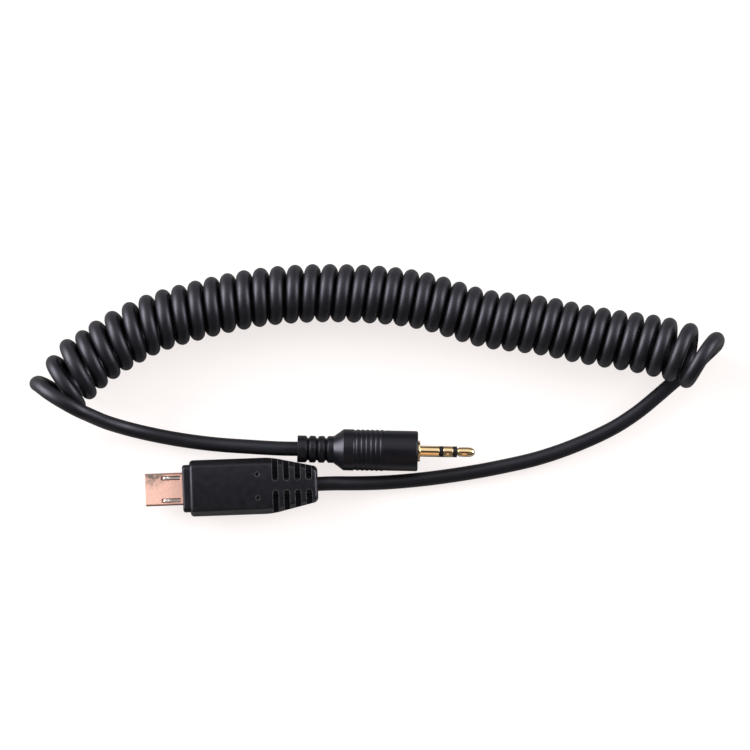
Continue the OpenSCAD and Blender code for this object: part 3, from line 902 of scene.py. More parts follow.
def inner_slope(points: Sequence[Vector], keys: Sequence[float], index: int) -> Vector:
    """Gives the slope at an inner point of a smooth curve from its two neighbours.

    Args:
        points: The curve's points.
        keys: Their keys, rising.
        index: Which point, neither the first nor the last.

    Returns:
        The slope.
    """
    before, after = keys[index] - keys[index - 1], keys[index + 1] - keys[index]
    back, ahead = (points[index] - points[index - 1]) / before, (points[index + 1] - points[index]) / after
    return (back * after + ahead * before) / (before + after)


def slopes(points: Sequence[Vector], keys: Sequence[float]) -> list[Vector]:
    """Gives the slope at every point of a smooth curve.

    Args:
        points: The points.
        keys: The points' keys, rising.

    Returns:
        One slope a point.
    """
    inner = [inner_slope(points, keys, index) for index in range(1, len(points) - 1)]
    first = 2 * (points[1] - points[0]) / (keys[1] - keys[0]) - inner[0]
    last = 2 * (points[-1] - points[-2]) / (keys[-1] - keys[-2]) - inner[-1]
    return [first, *inner, last]


class Curve:
    """A smooth curve through points with keys."""

    def __init__(
        self, points: Sequence[Sequence[float]], keys: Sequence[float] | None = None,
        first_way: Vector | None = None, last_way: Vector | None = None,
    ) -> None:
        """Works out the slopes.

        Args:
            points: The points that the curve passes.
            keys: Their keys, or their distances along the points if left out.
            first_way: Slope at the first point, if it is given.
            last_way: Slope at the last point, if it is given.
        """
        self.points = [Vector(point) for point in points]
        self.keys = list(keys) if keys else [0.0]
        if not keys:
            for before, after in zip(self.points, self.points[1:]):
                self.keys.append(self.keys[-1] + (after - before).length)
        self.slopes = slopes(self.points, self.keys)
        if first_way:
            self.slopes[0] = first_way
        if last_way:
            self.slopes[-1] = last_way

    def at(self, key: float) -> Vector:
        """Gives the curve's place at a key.

        Args:
            key: The key, which may lie past the ends.

        Returns:
            The place.
        """
        last = len(self.keys) - 2
        index = next((i for i in range(last) if key < self.keys[i + 1]), last)
        wide = self.keys[index + 1] - self.keys[index]
        t = (key - self.keys[index]) / wide
        return (
            (2 * t**3 - 3 * t**2 + 1) * self.points[index] + (t**3 - 2 * t**2 + t) * wide * self.slopes[index]
            + (3 * t**2 - 2 * t**3) * self.points[index + 1] + (t**3 - t**2) * wide * self.slopes[index + 1]
        )

    def walk(self, steps: int) -> list[Vector]:
        """Gives points along the curve.

        Args:
            steps: Spans between two of its own points.

        Returns:
            The points, the first and the last of the curve among them.
        """
        keys = [
            low + (high - low) * step / steps
            for low, high in zip(self.keys, self.keys[1:]) for step in range(steps)
        ]
        return [self.at(key) for key in keys] + [self.points[-1]]


# ---- The cord ------------------------------------------------------------------------------------


@dataclass
class Cord:
    """The cord from the jack plug through its coil to the terminal plug.

    Attributes:
        diameter: Diameter of the jacket.
        coil_radius: Radius of the coil to the middle of the cord.
        sides: Faces round the cord.
        turn_rings: Rings in one turn of the coil.
        lead_steps: Rings in each span of a lead.
        jack_end: Where the cord leaves the jack plug.
        jack_inside: How far the cord goes into the jack plug.
        terminal_front: Middle of the terminal housing's front face.
        terminal_turn: Angle of the terminal plug in degrees.
        housing_length: Length of the terminal housing.
        terminal_inside: How far the cord goes into the terminal plug.
        path: Points along the middle of the cord, which build works out.
    """

    uv_name = "jacket"
    diameter: float = 3.28
    coil_radius: float = 5.02
    sides: int = 24
    turn_rings: int = 44
    lead_steps: int = 8
    jack_end: Point = JACK_PLACE
    jack_inside: float = 10.0
    terminal_front: Point = TERMINAL_PLACE
    terminal_turn: float = TERMINAL_TURN
    housing_length: float = 29.1
    terminal_inside: float = 16.1
    path: list[Vector] = field(default_factory=list)

    def __post_init__(self) -> None:
        """Works out the coil's axis and the way into the terminal plug.

        A station holds a turn, the axis there, the coil's lift off the table, its lean in degrees
        and how much wider than usual it is.
        """
        stations = [
            (1.25, -58.3, 16.1, 0.14, 50, 0), (2, -55.6, 19.1, 0.14, 44.5, 0.38),
            (3, -53, 22.7, 0.34, 37, 0.6), (4, -49.9, 25, 0.19, 33.5, 0.26),
            (5, -47, 27.2, 0.09, 32.5, 0.26), (8, -36.9, 33, 0.04, 19.5, 0.18),
            (11, -26.3, 36.5, 0.04, 14.5, 0.1), (15, -11.9, 39.8, 0.04, 10.5, 0.04),
            (20, 6.8, 41.1, 0.04, 0.5, 0), (25, 24.9, 39.8, 0.04, -3, 0), (29, 39.2, 36, 0.04, -6.5, 0),
            (33, 53.7, 34.4, 0.04, -8, 0.12), (35, 60.9, 33, 0.04, -8, 0.12),
            (37, 68.3, 31.9, 0.29, -8, 0.12), (39, 75.8, 30.9, 0.99, -8.5, 0.28),
            (41, 83.5, 29.2, 2.64, -12, 0.52), (42.25, 89.6, 27.1, 3.04, -25, 0.74),
        ]
        turns = [station[0] for station in stations]
        self.first_turn, self.last_turn = turns[0], turns[-1]
        middle = self.coil_radius + self.diameter / 2
        self.axis = Curve([(x, y, middle + lift + growth) for _, x, y, lift, _, growth in stations], turns)
        self.lean = Curve([(station[4], 0, 0) for station in stations], turns)
        self.growth = Curve([(station[5], 0, 0) for station in stations], turns)
        self.terminal_way = Vector((cos(radians(self.terminal_turn)), sin(radians(self.terminal_turn)), 0))
        self.terminal_end = Vector(self.terminal_front) + self.housing_length * self.terminal_way

    def coil_point(self, turn: float) -> Vector:
        """Gives a point of the coil.

        Args:
            turn: Turns from the coil's first upper point.

        Returns:
            The middle of the cord there.
        """
        lean = radians(self.lean.at(turn)[0])
        across = Vector((-sin(lean), cos(lean), 0))
        outwards = Vector((0, 0, cos(2 * pi * turn))) + sin(2 * pi * turn) * across
        return self.axis.at(turn) + (self.coil_radius + self.growth.at(turn)[0]) * outwards

    def coil_way(self, turn: float) -> Vector:
        """Gives the cord's direction at a point of the coil."""
        return (self.coil_point(turn + 0.01) - self.coil_point(turn - 0.01)).normalized()

    def jack_lead(self) -> list[Vector]:
        """Gives the lead from inside the jack plug, over the second turn's foot, to the coil.

        Returns:
            Points along the middle of the cord.
        """
        end = Vector(self.jack_end)
        points = [
            end + Vector((self.jack_inside, 0, 0)), end, end - Vector((self.diameter, 0, 0)),
            (-13.5, 5.8, 3.9), (-22.5, 6.3, 2.5), (-31.5, 7.4, 2), (-38, 8.6, 3), (-43, 9.8, 5.2),
            (-46.6, 10.9, 8.1), (-50, 12.3, 11.3), (-53.2, 13.7, 13.7), (-56.2, 15.3, 14.2),
            (-59.2, 17.1, 13), (-61.3, 18.6, 10.7), (-62.2, 19.2, 8.4), self.coil_point(self.first_turn),
        ]
        return Curve(points, None, Vector((-1, 0, 0)), self.coil_way(self.first_turn)).walk(self.lead_steps)

    def terminal_lead(self) -> list[Vector]:
        """Gives the lead from the coil, under its last turns, into the terminal plug.

        Returns:
            Points along the middle of the cord.
        """
        end, way = self.terminal_end, self.terminal_way
        points = [
            self.coil_point(self.last_turn),
            (92, 31.2, 6.2), (91.2, 30.2, 3.4), (89.6, 28.6, 2), (86.8, 25.8, 1.7), (83, 22.8, 1.7),
            (79.4, 19.6, 1.7), (75, 15.8, 1.7), (70.5, 12.6, 1.7), (61.5, 8, 1.7), (52.5, 4.6, 1.7),
            (43.5, 2.3, 1.7), (34.5, 0.5, 1.7), (25.3, -0.9, 1.7), (16.2, -1.8, 2.1), (10, -2.05, 3.2),
            end + self.diameter * way, end, end - self.terminal_inside * way,
        ]
        return Curve(points, None, self.coil_way(self.last_turn), -way).walk(self.lead_steps)

    def distances(self) -> list[float]:
        """Gives the distance along the cord at each point of its path.

        Returns:
            The distances, from 0 to the cord's length.
        """
        run = [0.0]
        for before, after in zip(self.path, self.path[1:]):
            run.append(run[-1] + (after - before).length)
        return run

    def build(self, material: bpy.types.Material) -> bpy.types.Object:
        """Makes the cord.

        Args:
            material: The jacket's material.

        Returns:
            One closed tube.
        """
        count = round((self.last_turn - self.first_turn) * self.turn_rings)
        coil = [
            self.coil_point(self.first_turn + (self.last_turn - self.first_turn) * step / count)
            for step in range(1, count)
        ]
        lead = self.jack_lead()
        self.path = lead + coil + self.terminal_lead()
        run = self.distances()
        data = self.tube()
        data.materials.clear()
        data.materials.append(material)
        data.polygons.foreach_set("use_smooth", [True] * len(data.polygons))
        piece = add_object("cord", data)
        self.map_jacket(data, run)
        self.follow_both_plugs(piece, run)
        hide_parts("jack_lead", "cord_coil", "terminal_lead")
        LOG.info("cord is %.0f mm long, %d faces", run[-1], len(data.polygons))
        return piece

    def tube(self) -> bpy.types.Mesh:
        """Makes a closed tube along the cord's path.

        Returns:
            Its mesh, ring after ring.
        """
        line = bpy.data.curves.new("cord_line", "CURVE")
        line.dimensions = "3D"
        line.bevel_depth = self.diameter / 2 * MM
        line.bevel_resolution = (self.sides - 4) // 2
        spline = line.splines.new("POLY")
        spline.points.add(len(self.path) - 1)
        for point, place in zip(spline.points, self.path):
            point.co = (*(place * MM), 1)
        carrier = add_object("cord_line", line)
        graph = bpy.context.evaluated_depsgraph_get()
        data = bpy.data.meshes.new_from_object(carrier.evaluated_get(graph))
        bpy.data.objects.remove(carrier)
        data.name = "cord"
        tube = bmesh.new()
        tube.from_mesh(data)
        bmesh.ops.holes_fill(tube, edges=[edge for edge in tube.edges if edge.is_boundary], sides=0)
        bmesh.ops.recalc_face_normals(tube, faces=tube.faces)
        tube.to_mesh(data)
        tube.free()
        return data

    def map_jacket(self, data: bpy.types.Mesh, run: Sequence[float]) -> None:
        """Gives the jacket a UV map in metres, along the cord and round it.

        Args:
            data: The cord's mesh, ring after ring.
            run: Distance along the cord at each ring.
        """
        layer = data.uv_layers.new(name=self.uv_name)
        girth = pi * self.diameter
        for face in data.polygons:
            corners = [data.loops[index].vertex_index for index in face.loop_indices]
            wraps = {corner % self.sides for corner in corners} == {0, self.sides - 1}
            for index, corner in zip(face.loop_indices, corners):
                ring, side = divmod(corner, self.sides)
                turn = 1.0 if wraps and side == 0 else side / self.sides
                layer.data[index].uv = (run[ring] * MM, girth * turn * MM)

    def follow_both_plugs(self, piece: bpy.types.Object, run: Sequence[float]) -> None:
        """Lays each vertex at its distance along the cord, bakes the cord's place into its mesh and puts
        every vertex back.

        Args:
            piece: The cord.
            run: Distance along the cord at each ring.
        """
        places = [vertex.co.copy() for vertex in piece.data.vertices]
        for vertex in piece.data.vertices:
            vertex.co = (run[vertex.index // self.sides] * MM, 0, 0)
        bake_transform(piece)
        for vertex, place in zip(piece.data.vertices, places):
            vertex.co = place


# ---- The jack plug -------------------------------------------------------------------------------


@dataclass
class JackPlug:
    """The slim round plug with its three-pole pin.

    Attributes:
        place: Where the cord leaves the housing.
        length: Length of the housing.
        relief_length: Length of the strain relief.
        relief_radius: Radius of its rings.
        relief_core: Radius at the bottom of its grooves.
        relief_grooves: Number of its grooves.
        first_ring: Width of its first ring.
        groove_pitch: Distance from groove to groove.
        groove_width: Width of a groove.
        groove_floor: Where the bottom of a groove begins and ends, as shares of its width.
        barrel_start: Where the cone meets the barrel.
        barrel_radius: Radius of the barrel.
        front_radius: Radius of its plain front part.
        front_rounding: Rounding of its front edge.
        ribs: Number of grip ribs.
        rib_pitch: Distance from rib to rib.
        rib_depth: Depth of the grooves between the ribs.
        rib_rounding: Rounding of the ribs and grooves.
        first_rib: Middle of the first rib past the cone, in pitches.
        shoulder: Where the barrel ends before the first rib, in pitches from its middle.
        rib_corners: Corners of a rib, in pitches from its middle.
        last_groove: Where the last groove ends, in pitches before the next rib would stand.
        front_rise: Length of the rise to the front part, in pitches.
        stem_radius: Radius of the pin's stem.
        stem_length: Length of the stem in the housing.
        stem_bore: Radius of the bore in the sleeve and its stem.
        ring_tube: Radius of the tube behind the ring.
        ring_bore: Radius of the bore in that tube.
        tip_rod: Radius of the rod behind the tip.
        rear_washer: Distance from the stem to the rear washer's far side.
        front_washer: Distance from the ring's lug to the front washer's far side.
        lug: Thickness of a lug.
        rivet: Width of the rivet's rim on the tip's lug.
        mould_radius: Radius of the inner mould.
        mould_start: Where the inner mould begins.
        cord_bore: Radius of the bore for the cord.
        pin_radius: Radius of the pin.
        pin_roundings: Rounding of the sleeve, of the ring, and of the collars and the tip.
        flange_radius: Radius of the flange.
        flange_thickness: Thickness of the flange.
        sleeve_length: Length of the sleeve pole.
        collar_length: Length of a black collar.
        ring_length: Length of the ring pole.
        neck_length: Length of the neck.
        neck_radius: Radius of the neck.
        tip_length: Length of the tip's straight part.
        tip_radius: Radius of the tip.
        tip_edge: How far the tip draws in at its two ends.
        tip_belly: Place of its widest point, as a share of its straight part.
        nose_shoulder: Distance before the nose at which it begins to draw in.
        nose_length: Length of the nose.
        nose: Points of the nose's outline, as distance before its end and radius.
    """

    place: Point = JACK_PLACE
    length: float = 27.4
    relief_length: float = 8.25
    relief_radius: float = 3.07
    relief_core: float = 2.5
    relief_grooves: int = 3
    first_ring: float = 1.95
    groove_pitch: float = 2.05
    groove_width: float = 0.95
    groove_floor: Pair = (0.42, 0.58)
    barrel_start: float = 10.5
    barrel_radius: float = 4.7
    front_radius: float = 4.58
    front_rounding: float = 0.45
    ribs: int = 6
    rib_pitch: float = 1.09
    rib_depth: float = 0.17
    rib_rounding: float = 0.09
    first_rib: float = 2.98
    shoulder: Pair = (0.95, 0.7)
    rib_corners: tuple[float, float, float, float] = (-0.42, -0.14, 0.02, 0.5)
    last_groove: float = 0.4
    front_rise: float = 0.2
    stem_radius: float = 1.9
    stem_length: float = 5.9
    stem_bore: float = 0.95
    ring_tube: float = 0.7
    ring_bore: float = 0.5
    tip_rod: float = 0.3
    rear_washer: float = 0.9
    front_washer: float = 0.6
    lug: float = 0.3
    rivet: float = 0.25
    mould_radius: float = 3.2
    mould_start: float = 8.5
    cord_bore: float = CORD_BORE
    pin_radius: float = 1.25
    pin_roundings: tuple[float, float, float] = (0.08, 0.06, 0.05)
    flange_radius: float = 2.35
    flange_thickness: float = 0.5
    sleeve_length: float = 4.35
    collar_length: float = 0.95
    ring_length: float = 2.15
    neck_length: float = 0.3
    neck_radius: float = 0.85
    tip_length: float = 3.0
    tip_radius: float = 1.1
    tip_edge: float = 0.12
    tip_belly: float = 0.6
    nose_shoulder: float = 0.35
    nose_length: float = 0.75
    nose: tuple[Pair, ...] = ((0.36, 0.78), (0.12, 0.54), (0.0, 0.3), (0.0, 0.0))

    def __post_init__(self) -> None:
        """Works out the stations along the pin."""
        self.matrix = Matrix.Translation(scaled(*self.place))
        self.sleeve_x = self.length + self.flange_thickness
        self.rear_collar_x = self.sleeve_x + self.sleeve_length
        self.ring_x = self.rear_collar_x + self.collar_length
        self.front_collar_x = self.ring_x + self.ring_length
        self.neck_x = self.front_collar_x + self.collar_length
        self.tip_x = self.neck_x + self.neck_length
        self.nose_x = self.tip_x + self.tip_length
        self.end_x = self.nose_x + self.nose_length

    def housing_profile(self) -> Profile:
        """Gives the housing's profile, outside first.

        Returns:
            Points (x, r) round its wall.
        """
        outline: Profile = [(0.0, self.relief_radius)]
        for groove in range(self.relief_grooves):
            x = self.first_ring + groove * self.groove_pitch
            floor = [(x + share * self.groove_width, self.relief_core) for share in self.groove_floor]
            outline += [(x, self.relief_radius), *floor, (x + self.groove_width, self.relief_radius)]
        outline += [(self.relief_length, self.relief_radius), (self.barrel_start, self.barrel_radius)]
        high, low = self.barrel_radius, self.barrel_radius - self.rib_depth
        crest = self.barrel_start + self.first_rib * self.rib_pitch
        corners = zip(self.shoulder, (high, low))
        outline += [(crest - step * self.rib_pitch, radius) for step, radius in corners]
        for rib in range(self.ribs):
            x = crest + rib * self.rib_pitch
            corners = zip(self.rib_corners, (low, high, high, low))
            outline += [(x + step * self.rib_pitch, radius) for step, radius in corners]
        front = crest + (self.ribs - self.last_groove) * self.rib_pitch
        outline += [(front, low), (front + self.front_rise * self.rib_pitch, self.front_radius)]
        outline += arc(
            (self.length - self.front_rounding, self.front_radius - self.front_rounding),
            self.front_rounding, 90, 0,
        )
        stem_x = self.length - self.stem_length
        outline += [
            (self.length, self.stem_radius), (stem_x, self.stem_radius), (stem_x, self.mould_radius),
            (self.mould_start, self.mould_radius), (self.mould_start, self.cord_bore), (0.0, self.cord_bore),
        ]
        return outline

    def build_housing(self, material: bpy.types.Material) -> bpy.types.Object:
        """Makes the housing.

        Args:
            material: Its plastic.

        Returns:
            The housing.
        """
        mesh = lathe(self.housing_profile(), steps=112)
        soften(mesh, self.rib_rounding, segments=2, angle=24)
        return stand_in(
            "jack_grip", mesh, self.matrix, material, "jack_plug", ["jack_housing"]
        )

    def pole(
        self, name: str, node: str, profile: Profile, material: bpy.types.Material,
        rounding: float,
    ) -> bpy.types.Object:
        """Makes one turned piece of the pin.

        Args:
            name: The piece's name.
            node: The CAD node that it stands for.
            profile: Its profile.
            material: Its material.
            rounding: Rounding of its edges.

        Returns:
            The piece.
        """
        mesh = lathe(profile, steps=64)
        soften(mesh, rounding, segments=3, angle=20)
        return stand_in(name, mesh, self.matrix, material, "jack_plug", [node])

    def build_pin(self, plated: bpy.types.Material, black: bpy.types.Material) -> list[bpy.types.Object]:
        """Makes the pin's poles and collars.

        Args:
            plated: The poles' plating.
            black: The collars' plastic.

        Returns:
            The pieces from the housing to the tip.
        """
        outer = self.pin_radius
        stem_x = self.length - self.stem_length
        rear_washer_x = stem_x - self.rear_washer
        ring_lug_x = rear_washer_x - self.lug
        front_washer_x = ring_lug_x - self.front_washer
        tip_lug_x = front_washer_x - self.lug
        sleeve = [
            (stem_x, self.stem_bore), (stem_x, self.stem_radius), (self.length, self.stem_radius),
            (self.length, self.flange_radius), (self.sleeve_x, self.flange_radius), (self.sleeve_x, outer),
            (self.rear_collar_x, outer), (self.rear_collar_x, self.stem_bore),
        ]
        rear_collar = [
            (rear_washer_x, self.ring_tube), (rear_washer_x, self.stem_bore),
            (self.rear_collar_x, self.stem_bore), (self.rear_collar_x, outer), (self.ring_x, outer),
            (self.ring_x, self.ring_tube),
        ]
        ring = [
            (ring_lug_x, self.ring_bore), (ring_lug_x, self.ring_tube), (self.ring_x, self.ring_tube),
            (self.ring_x, outer), (self.front_collar_x, outer), (self.front_collar_x, self.ring_bore),
        ]
        front_collar = [
            (front_washer_x, self.tip_rod), (front_washer_x, self.ring_bore),
            (self.front_collar_x, self.ring_bore), (self.front_collar_x, outer), (self.neck_x, outer),
            (self.neck_x, self.tip_rod),
        ]
        drawn_in, nearly = self.tip_radius - self.tip_edge, self.tip_radius - self.tip_edge / 3
        tip = [
            (tip_lug_x - self.lug, 0.0), (tip_lug_x, self.tip_rod + self.rivet), (tip_lug_x, self.tip_rod),
            (self.neck_x, self.tip_rod), (self.neck_x, self.neck_radius), (self.tip_x, self.neck_radius),
            (self.tip_x, drawn_in), (self.tip_x + self.tip_edge, nearly),
            (self.tip_x + self.tip_belly * self.tip_length, self.tip_radius),
            (self.nose_x - self.nose_shoulder, nearly),
            (self.nose_x, drawn_in), *((self.end_x - back, radius) for back, radius in self.nose),
        ]
        wide, usual, fine = self.pin_roundings
        return [
            self.pole("pin_sleeve", "jack_sleeve", sleeve, plated, wide),
            self.pole("pin_rear_collar", "jack_rear_insulator", rear_collar, black, fine),
            self.pole("pin_ring", "jack_ring", ring, plated, usual),
            self.pole("pin_front_collar", "jack_front_insulator", front_collar, black, fine),
            self.pole("pin_tip", "jack_tip", tip, plated, fine),
        ]


# ---- The flat terminal plug ----------------------------------------------------------------------


@dataclass
class TerminalPlug:
    """The flat plug with its drawn metal shell.

    Attributes:
        place: Middle of the housing's front face.
        turn: Angle of the plug in degrees.
        width: Width of the housing.
        height: Thickness of the housing.
        body_length: Length of its straight body.
        tail_length: Length of its tapered tail.
        tail_width: Width of the tail at the cord.
        tail_height: Thickness of the tail at the cord.
        edge: Rounding between its faces and its flanks.
        flank_edge: Rounding between the sloping and the upright part of a flank.
        flank_width: How far a flank slopes in.
        flank_height: Height of its sloping part.
        front_edge: Rounding of its front face.
        waist_edge: Rounding between its body and its tail.
        rear_edge: Rounding of the tail's end.
        crown: How much lower its upper face is at the long edges.
        crown_strips: Strips on each side of the middle that follow the crown.
        crown_step: Width of a strip, as a share of half of the housing.
        slots: Flex slots on each side and face.
        first_slot: Middle of the first slot behind the body.
        slot_pitch: Distance from slot to slot.
        slot_width: Width of a slot.
        slot_rounding: Rounding of a slot's bottom, as a share of its width.
        slot_edge: Rounding of the edges of the slots and dimples.
        web: Width left between the slots of both sides.
        spine: Thickness left along each side of the tail.
        core_radius: Radius of the core round the cord.
        core_inset: How far the core ends inside the tail's end.
        cord_bore: Radius of the bore for the cord.
        mould_length: Length of the inner mould.
        mould_width: Width of the inner mould.
        mould_height: Thickness of the inner mould.
        dimple: Radius of a dimple.
        dimple_x: Place of the dimples along the plug.
        dimple_y: Distance of the dimples from the middle.
        dimple_depth: Depth of a dimple.
        collar_length: Length of the collar.
        collar_width: Width of the collar.
        collar_height: Thickness of the collar.
        collar_corner: Rounding of the collar's corners.
        collar_edge: Rounding of the collar's front edge.
        collar_gap: Gap between the collar and the shell.
        shell_width: Width of the shell.
        shell_height: Height of the shell.
        shell_corner: Rounding of its upper corners.
        least_corner: Least rounding of those corners inside.
        shell_slope: Width and height of its sloping lower corners.
        shell_out: Length of the shell in front of the collar.
        shell_in: Length of the shell in the housing.
        sheet: Thickness of the shell's sheet.
        sheet_edge: Rounding of its edges.
        window_length: Length of a window.
        window_width: Width of a window.
        window_back: Distance from a window to the collar.
        window_corner: Rounding of its corners.
        latch_y: Distance of the latches from the middle.
        latch_width: Width of a latch.
        latch_sheet: Thickness of a latch.
        latch_edge: Rounding of its edges.
        arm_drop: How far its arm lies under the sheet at the window's rear and behind the hook.
        hook_x: Distance from a window's front to the front of its hook.
        hook_length: Length of a hook.
        hook_height: Height of a hook above the shell.
        hook_slopes: Distance from a hook's front to the feet of its front and rear slope.
        hook_wall: Thickness of a hook's top, in thicknesses of the latch.
        root: Distance of a latch's rolled root behind the collar's front, and above the middle.
        root_radius: Radius of the rolled root.
    """

    place: Point = TERMINAL_PLACE
    turn: float = TERMINAL_TURN
    width: float = 12.8
    height: float = 8.2
    body_length: float = 18.6
    tail_length: float = 10.5
    tail_width: float = 8.0
    tail_height: float = 6.6
    edge: float = 0.5
    flank_edge: float = 0.9
    flank_width: float = 1.1
    flank_height: float = 2.6
    front_edge: float = 0.85
    waist_edge: float = 1.6
    rear_edge: float = 0.9
    crown: float = 0.45
    crown_strips: int = 5
    crown_step: float = 0.14
    slots: int = 4
    first_slot: float = 0.85
    slot_pitch: float = 2.55
    slot_width: float = 1.3
    slot_rounding: float = 0.49
    slot_edge: float = 0.07
    web: float = 2.14
    spine: float = 1.2
    core_radius: float = 2.5
    core_inset: float = 0.4
    cord_bore: float = CORD_BORE
    mould_length: float = 15.0
    mould_width: float = 9.4
    mould_height: float = 5.6
    dimple: float = 0.5
    dimple_x: float = 15.4
    dimple_y: float = 2.7
    dimple_depth: float = 0.6
    collar_length: float = 1.65
    collar_width: float = 10.8
    collar_height: float = 6.0
    collar_corner: float = 1.2
    collar_edge: float = 0.55
    collar_gap: float = 0.01
    shell_width: float = 7.4
    shell_height: float = 2.9
    shell_corner: float = 0.45
    least_corner: float = 0.12
    shell_slope: Pair = (0.8, 0.9)
    shell_out: float = 8.45
    shell_in: float = 5.0
    sheet: float = 0.3
    sheet_edge: float = 0.05
    window_length: float = 4.4
    window_width: float = 0.95
    window_back: float = 0.47
    window_corner: float = 0.18
    latch_y: float = 2.55
    latch_width: float = 0.55
    latch_sheet: float = 0.22
    latch_edge: float = 0.04
    arm_drop: Pair = (0.3, 0.1)
    hook_x: float = 0.75
    hook_length: float = 0.8
    hook_height: float = 0.35
    hook_slopes: Pair = (0.4, 1.5)
    hook_wall: float = 1.2
    root: Pair = (1.5, 0.45)
    root_radius: float = 0.25

    def __post_init__(self) -> None:
        """Works out the plug's place and its stations."""
        self.matrix = Matrix.Translation(scaled(*self.place)) @ Matrix.Rotation(radians(self.turn), 4, "Z")
        self.mouth_x = -self.collar_length - self.shell_out
        self.window_end = -self.collar_length - self.window_back
        self.window_x = self.window_end - self.window_length

    def body(self) -> bmesh.types.BMesh:
        """Makes the housing's outside, before it is cut.

        Returns:
            The closed body with its tail and rounded edges.
        """
        half_w, half_h = self.width / 2, self.height / 2
        mesh = block((0, -half_w, -half_h), (self.body_length, half_w, half_h))
        rear = [face for face in mesh.faces if face.normal.x > 0.9]
        grown = bmesh.ops.extrude_face_region(mesh, geom=rear)
        tip = new_verts(grown)
        bmesh.ops.delete(mesh, geom=rear, context="FACES_ONLY")
        bmesh.ops.translate(mesh, vec=scaled(self.tail_length, 0, 0), verts=tip)
        taper = (1, self.tail_width / self.width, self.tail_height / self.height)
        bmesh.ops.scale(mesh, vec=taper, verts=tip)
        waist = [
            edge for edge in along(mesh, 2)
            if all(abs(vertex.co.x - self.body_length * MM) < TINY for vertex in edge.verts)
        ]
        bevel(mesh, waist, self.waist_edge, 4)
        self.slope_flanks(mesh)
        for width, least, most in ((self.edge, 45, 90), (self.flank_edge, 12, 40)):
            bevel(mesh, self.long_edges(mesh, least, most), width, 4)
        self.round_end(mesh, 0, 1, self.front_edge)
        self.round_end(mesh, self.body_length + self.tail_length, -1, self.rear_edge)
        for step in range(-self.crown_strips, self.crown_strips + 1):
            slice_at(mesh, scaled(0, self.crown_step * step * half_w, 0), (0, 1, 0))
        for vertex in mesh.verts:
            if vertex.co.z > 0:
                vertex.co.z *= 1 - self.crown / half_h * (vertex.co.y / (half_w * MM)) ** 2
        return mesh

    def round_end(self, mesh: bmesh.types.BMesh, end: float, way: int, radius: float) -> None:
        """Rounds the edges of one end of the housing.

        Args:
            mesh: The body.
            end: Place of the end along the plug.
            way: 1 if the body goes on in +X from there, -1 if it goes on in -X.
            radius: Radius of the rounding.
        """
        rim = [vertex.co for vertex in mesh.verts if abs(vertex.co.x - end * MM) < TINY]
        wide, tall = (max(abs(place[axis]) for place in rim) / MM for axis in (1, 2))
        for turn in range(0, 90, 15):
            depth = radius * (1 - sin(radians(turn)))
            slice_at(mesh, scaled(end + way * depth, 0, 0), (1, 0, 0))
        for vertex in mesh.verts:
            depth = min(max((vertex.co.x / MM - end) * way, 0), radius)
            inset = radius - (radius**2 - (radius - depth) ** 2) ** 0.5
            vertex.co.y *= 1 - inset / wide
            vertex.co.z *= 1 - inset / tall

    def slope_flanks(self, mesh: bmesh.types.BMesh) -> None:
        """Slopes the flanks of the housing inwards above and below its middle.

        Args:
            mesh: The body.
        """
        level = (self.height / 2 - self.flank_height) * MM
        for side in (1, -1):
            slice_at(mesh, Vector((0, 0, side * level)), (0, 0, 1))
        for vertex in mesh.verts:
            if abs(vertex.co.z) > level + TINY:
                vertex.co.y *= 1 - 2 * self.flank_width / self.width

    def long_edges(self, mesh: bmesh.types.BMesh, least: float, most: float) -> list[bmesh.types.BMEdge]:
        """Finds the edges along the housing whose bend lies between two angles.

        Args:
            mesh: The body.
            least: The smaller angle in degrees.
            most: The larger angle.

        Returns:
            The edges.
        """
        return [
            edge for edge in mesh.edges
            if radians(least) < edge.calc_face_angle(0.0) < radians(most)
            and abs((edge.verts[1].co - edge.verts[0].co).normalized().x) > 0.5
        ]

    def slot_cutter(self, index: int, side: Side, face: int) -> bmesh.types.BMesh:
        """Makes the cutter of one flex slot.

        Args:
            index: Which slot, from the body on.
            side: The side of the tail.
            face: 1 for the upper face, -1 for the lower.

        Returns:
            A block with two rounded inner edges.
        """
        x = self.body_length + self.first_slot + index * self.slot_pitch
        inner, outer = self.web / 2, self.width
        low, high = self.spine / 2, self.height
        mesh = block((x - self.slot_width / 2, inner, low), (x + self.slot_width / 2, outer, high))
        ends = [
            edge for edge in along(mesh, 2) if all(vertex.co.y < inner * MM + TINY for vertex in edge.verts)
        ]
        bevel(mesh, ends, self.slot_width * self.slot_rounding, 8)
        bmesh.ops.scale(mesh, vec=(1, side.value, face), verts=mesh.verts)
        bmesh.ops.recalc_face_normals(mesh, faces=mesh.faces)
        return mesh

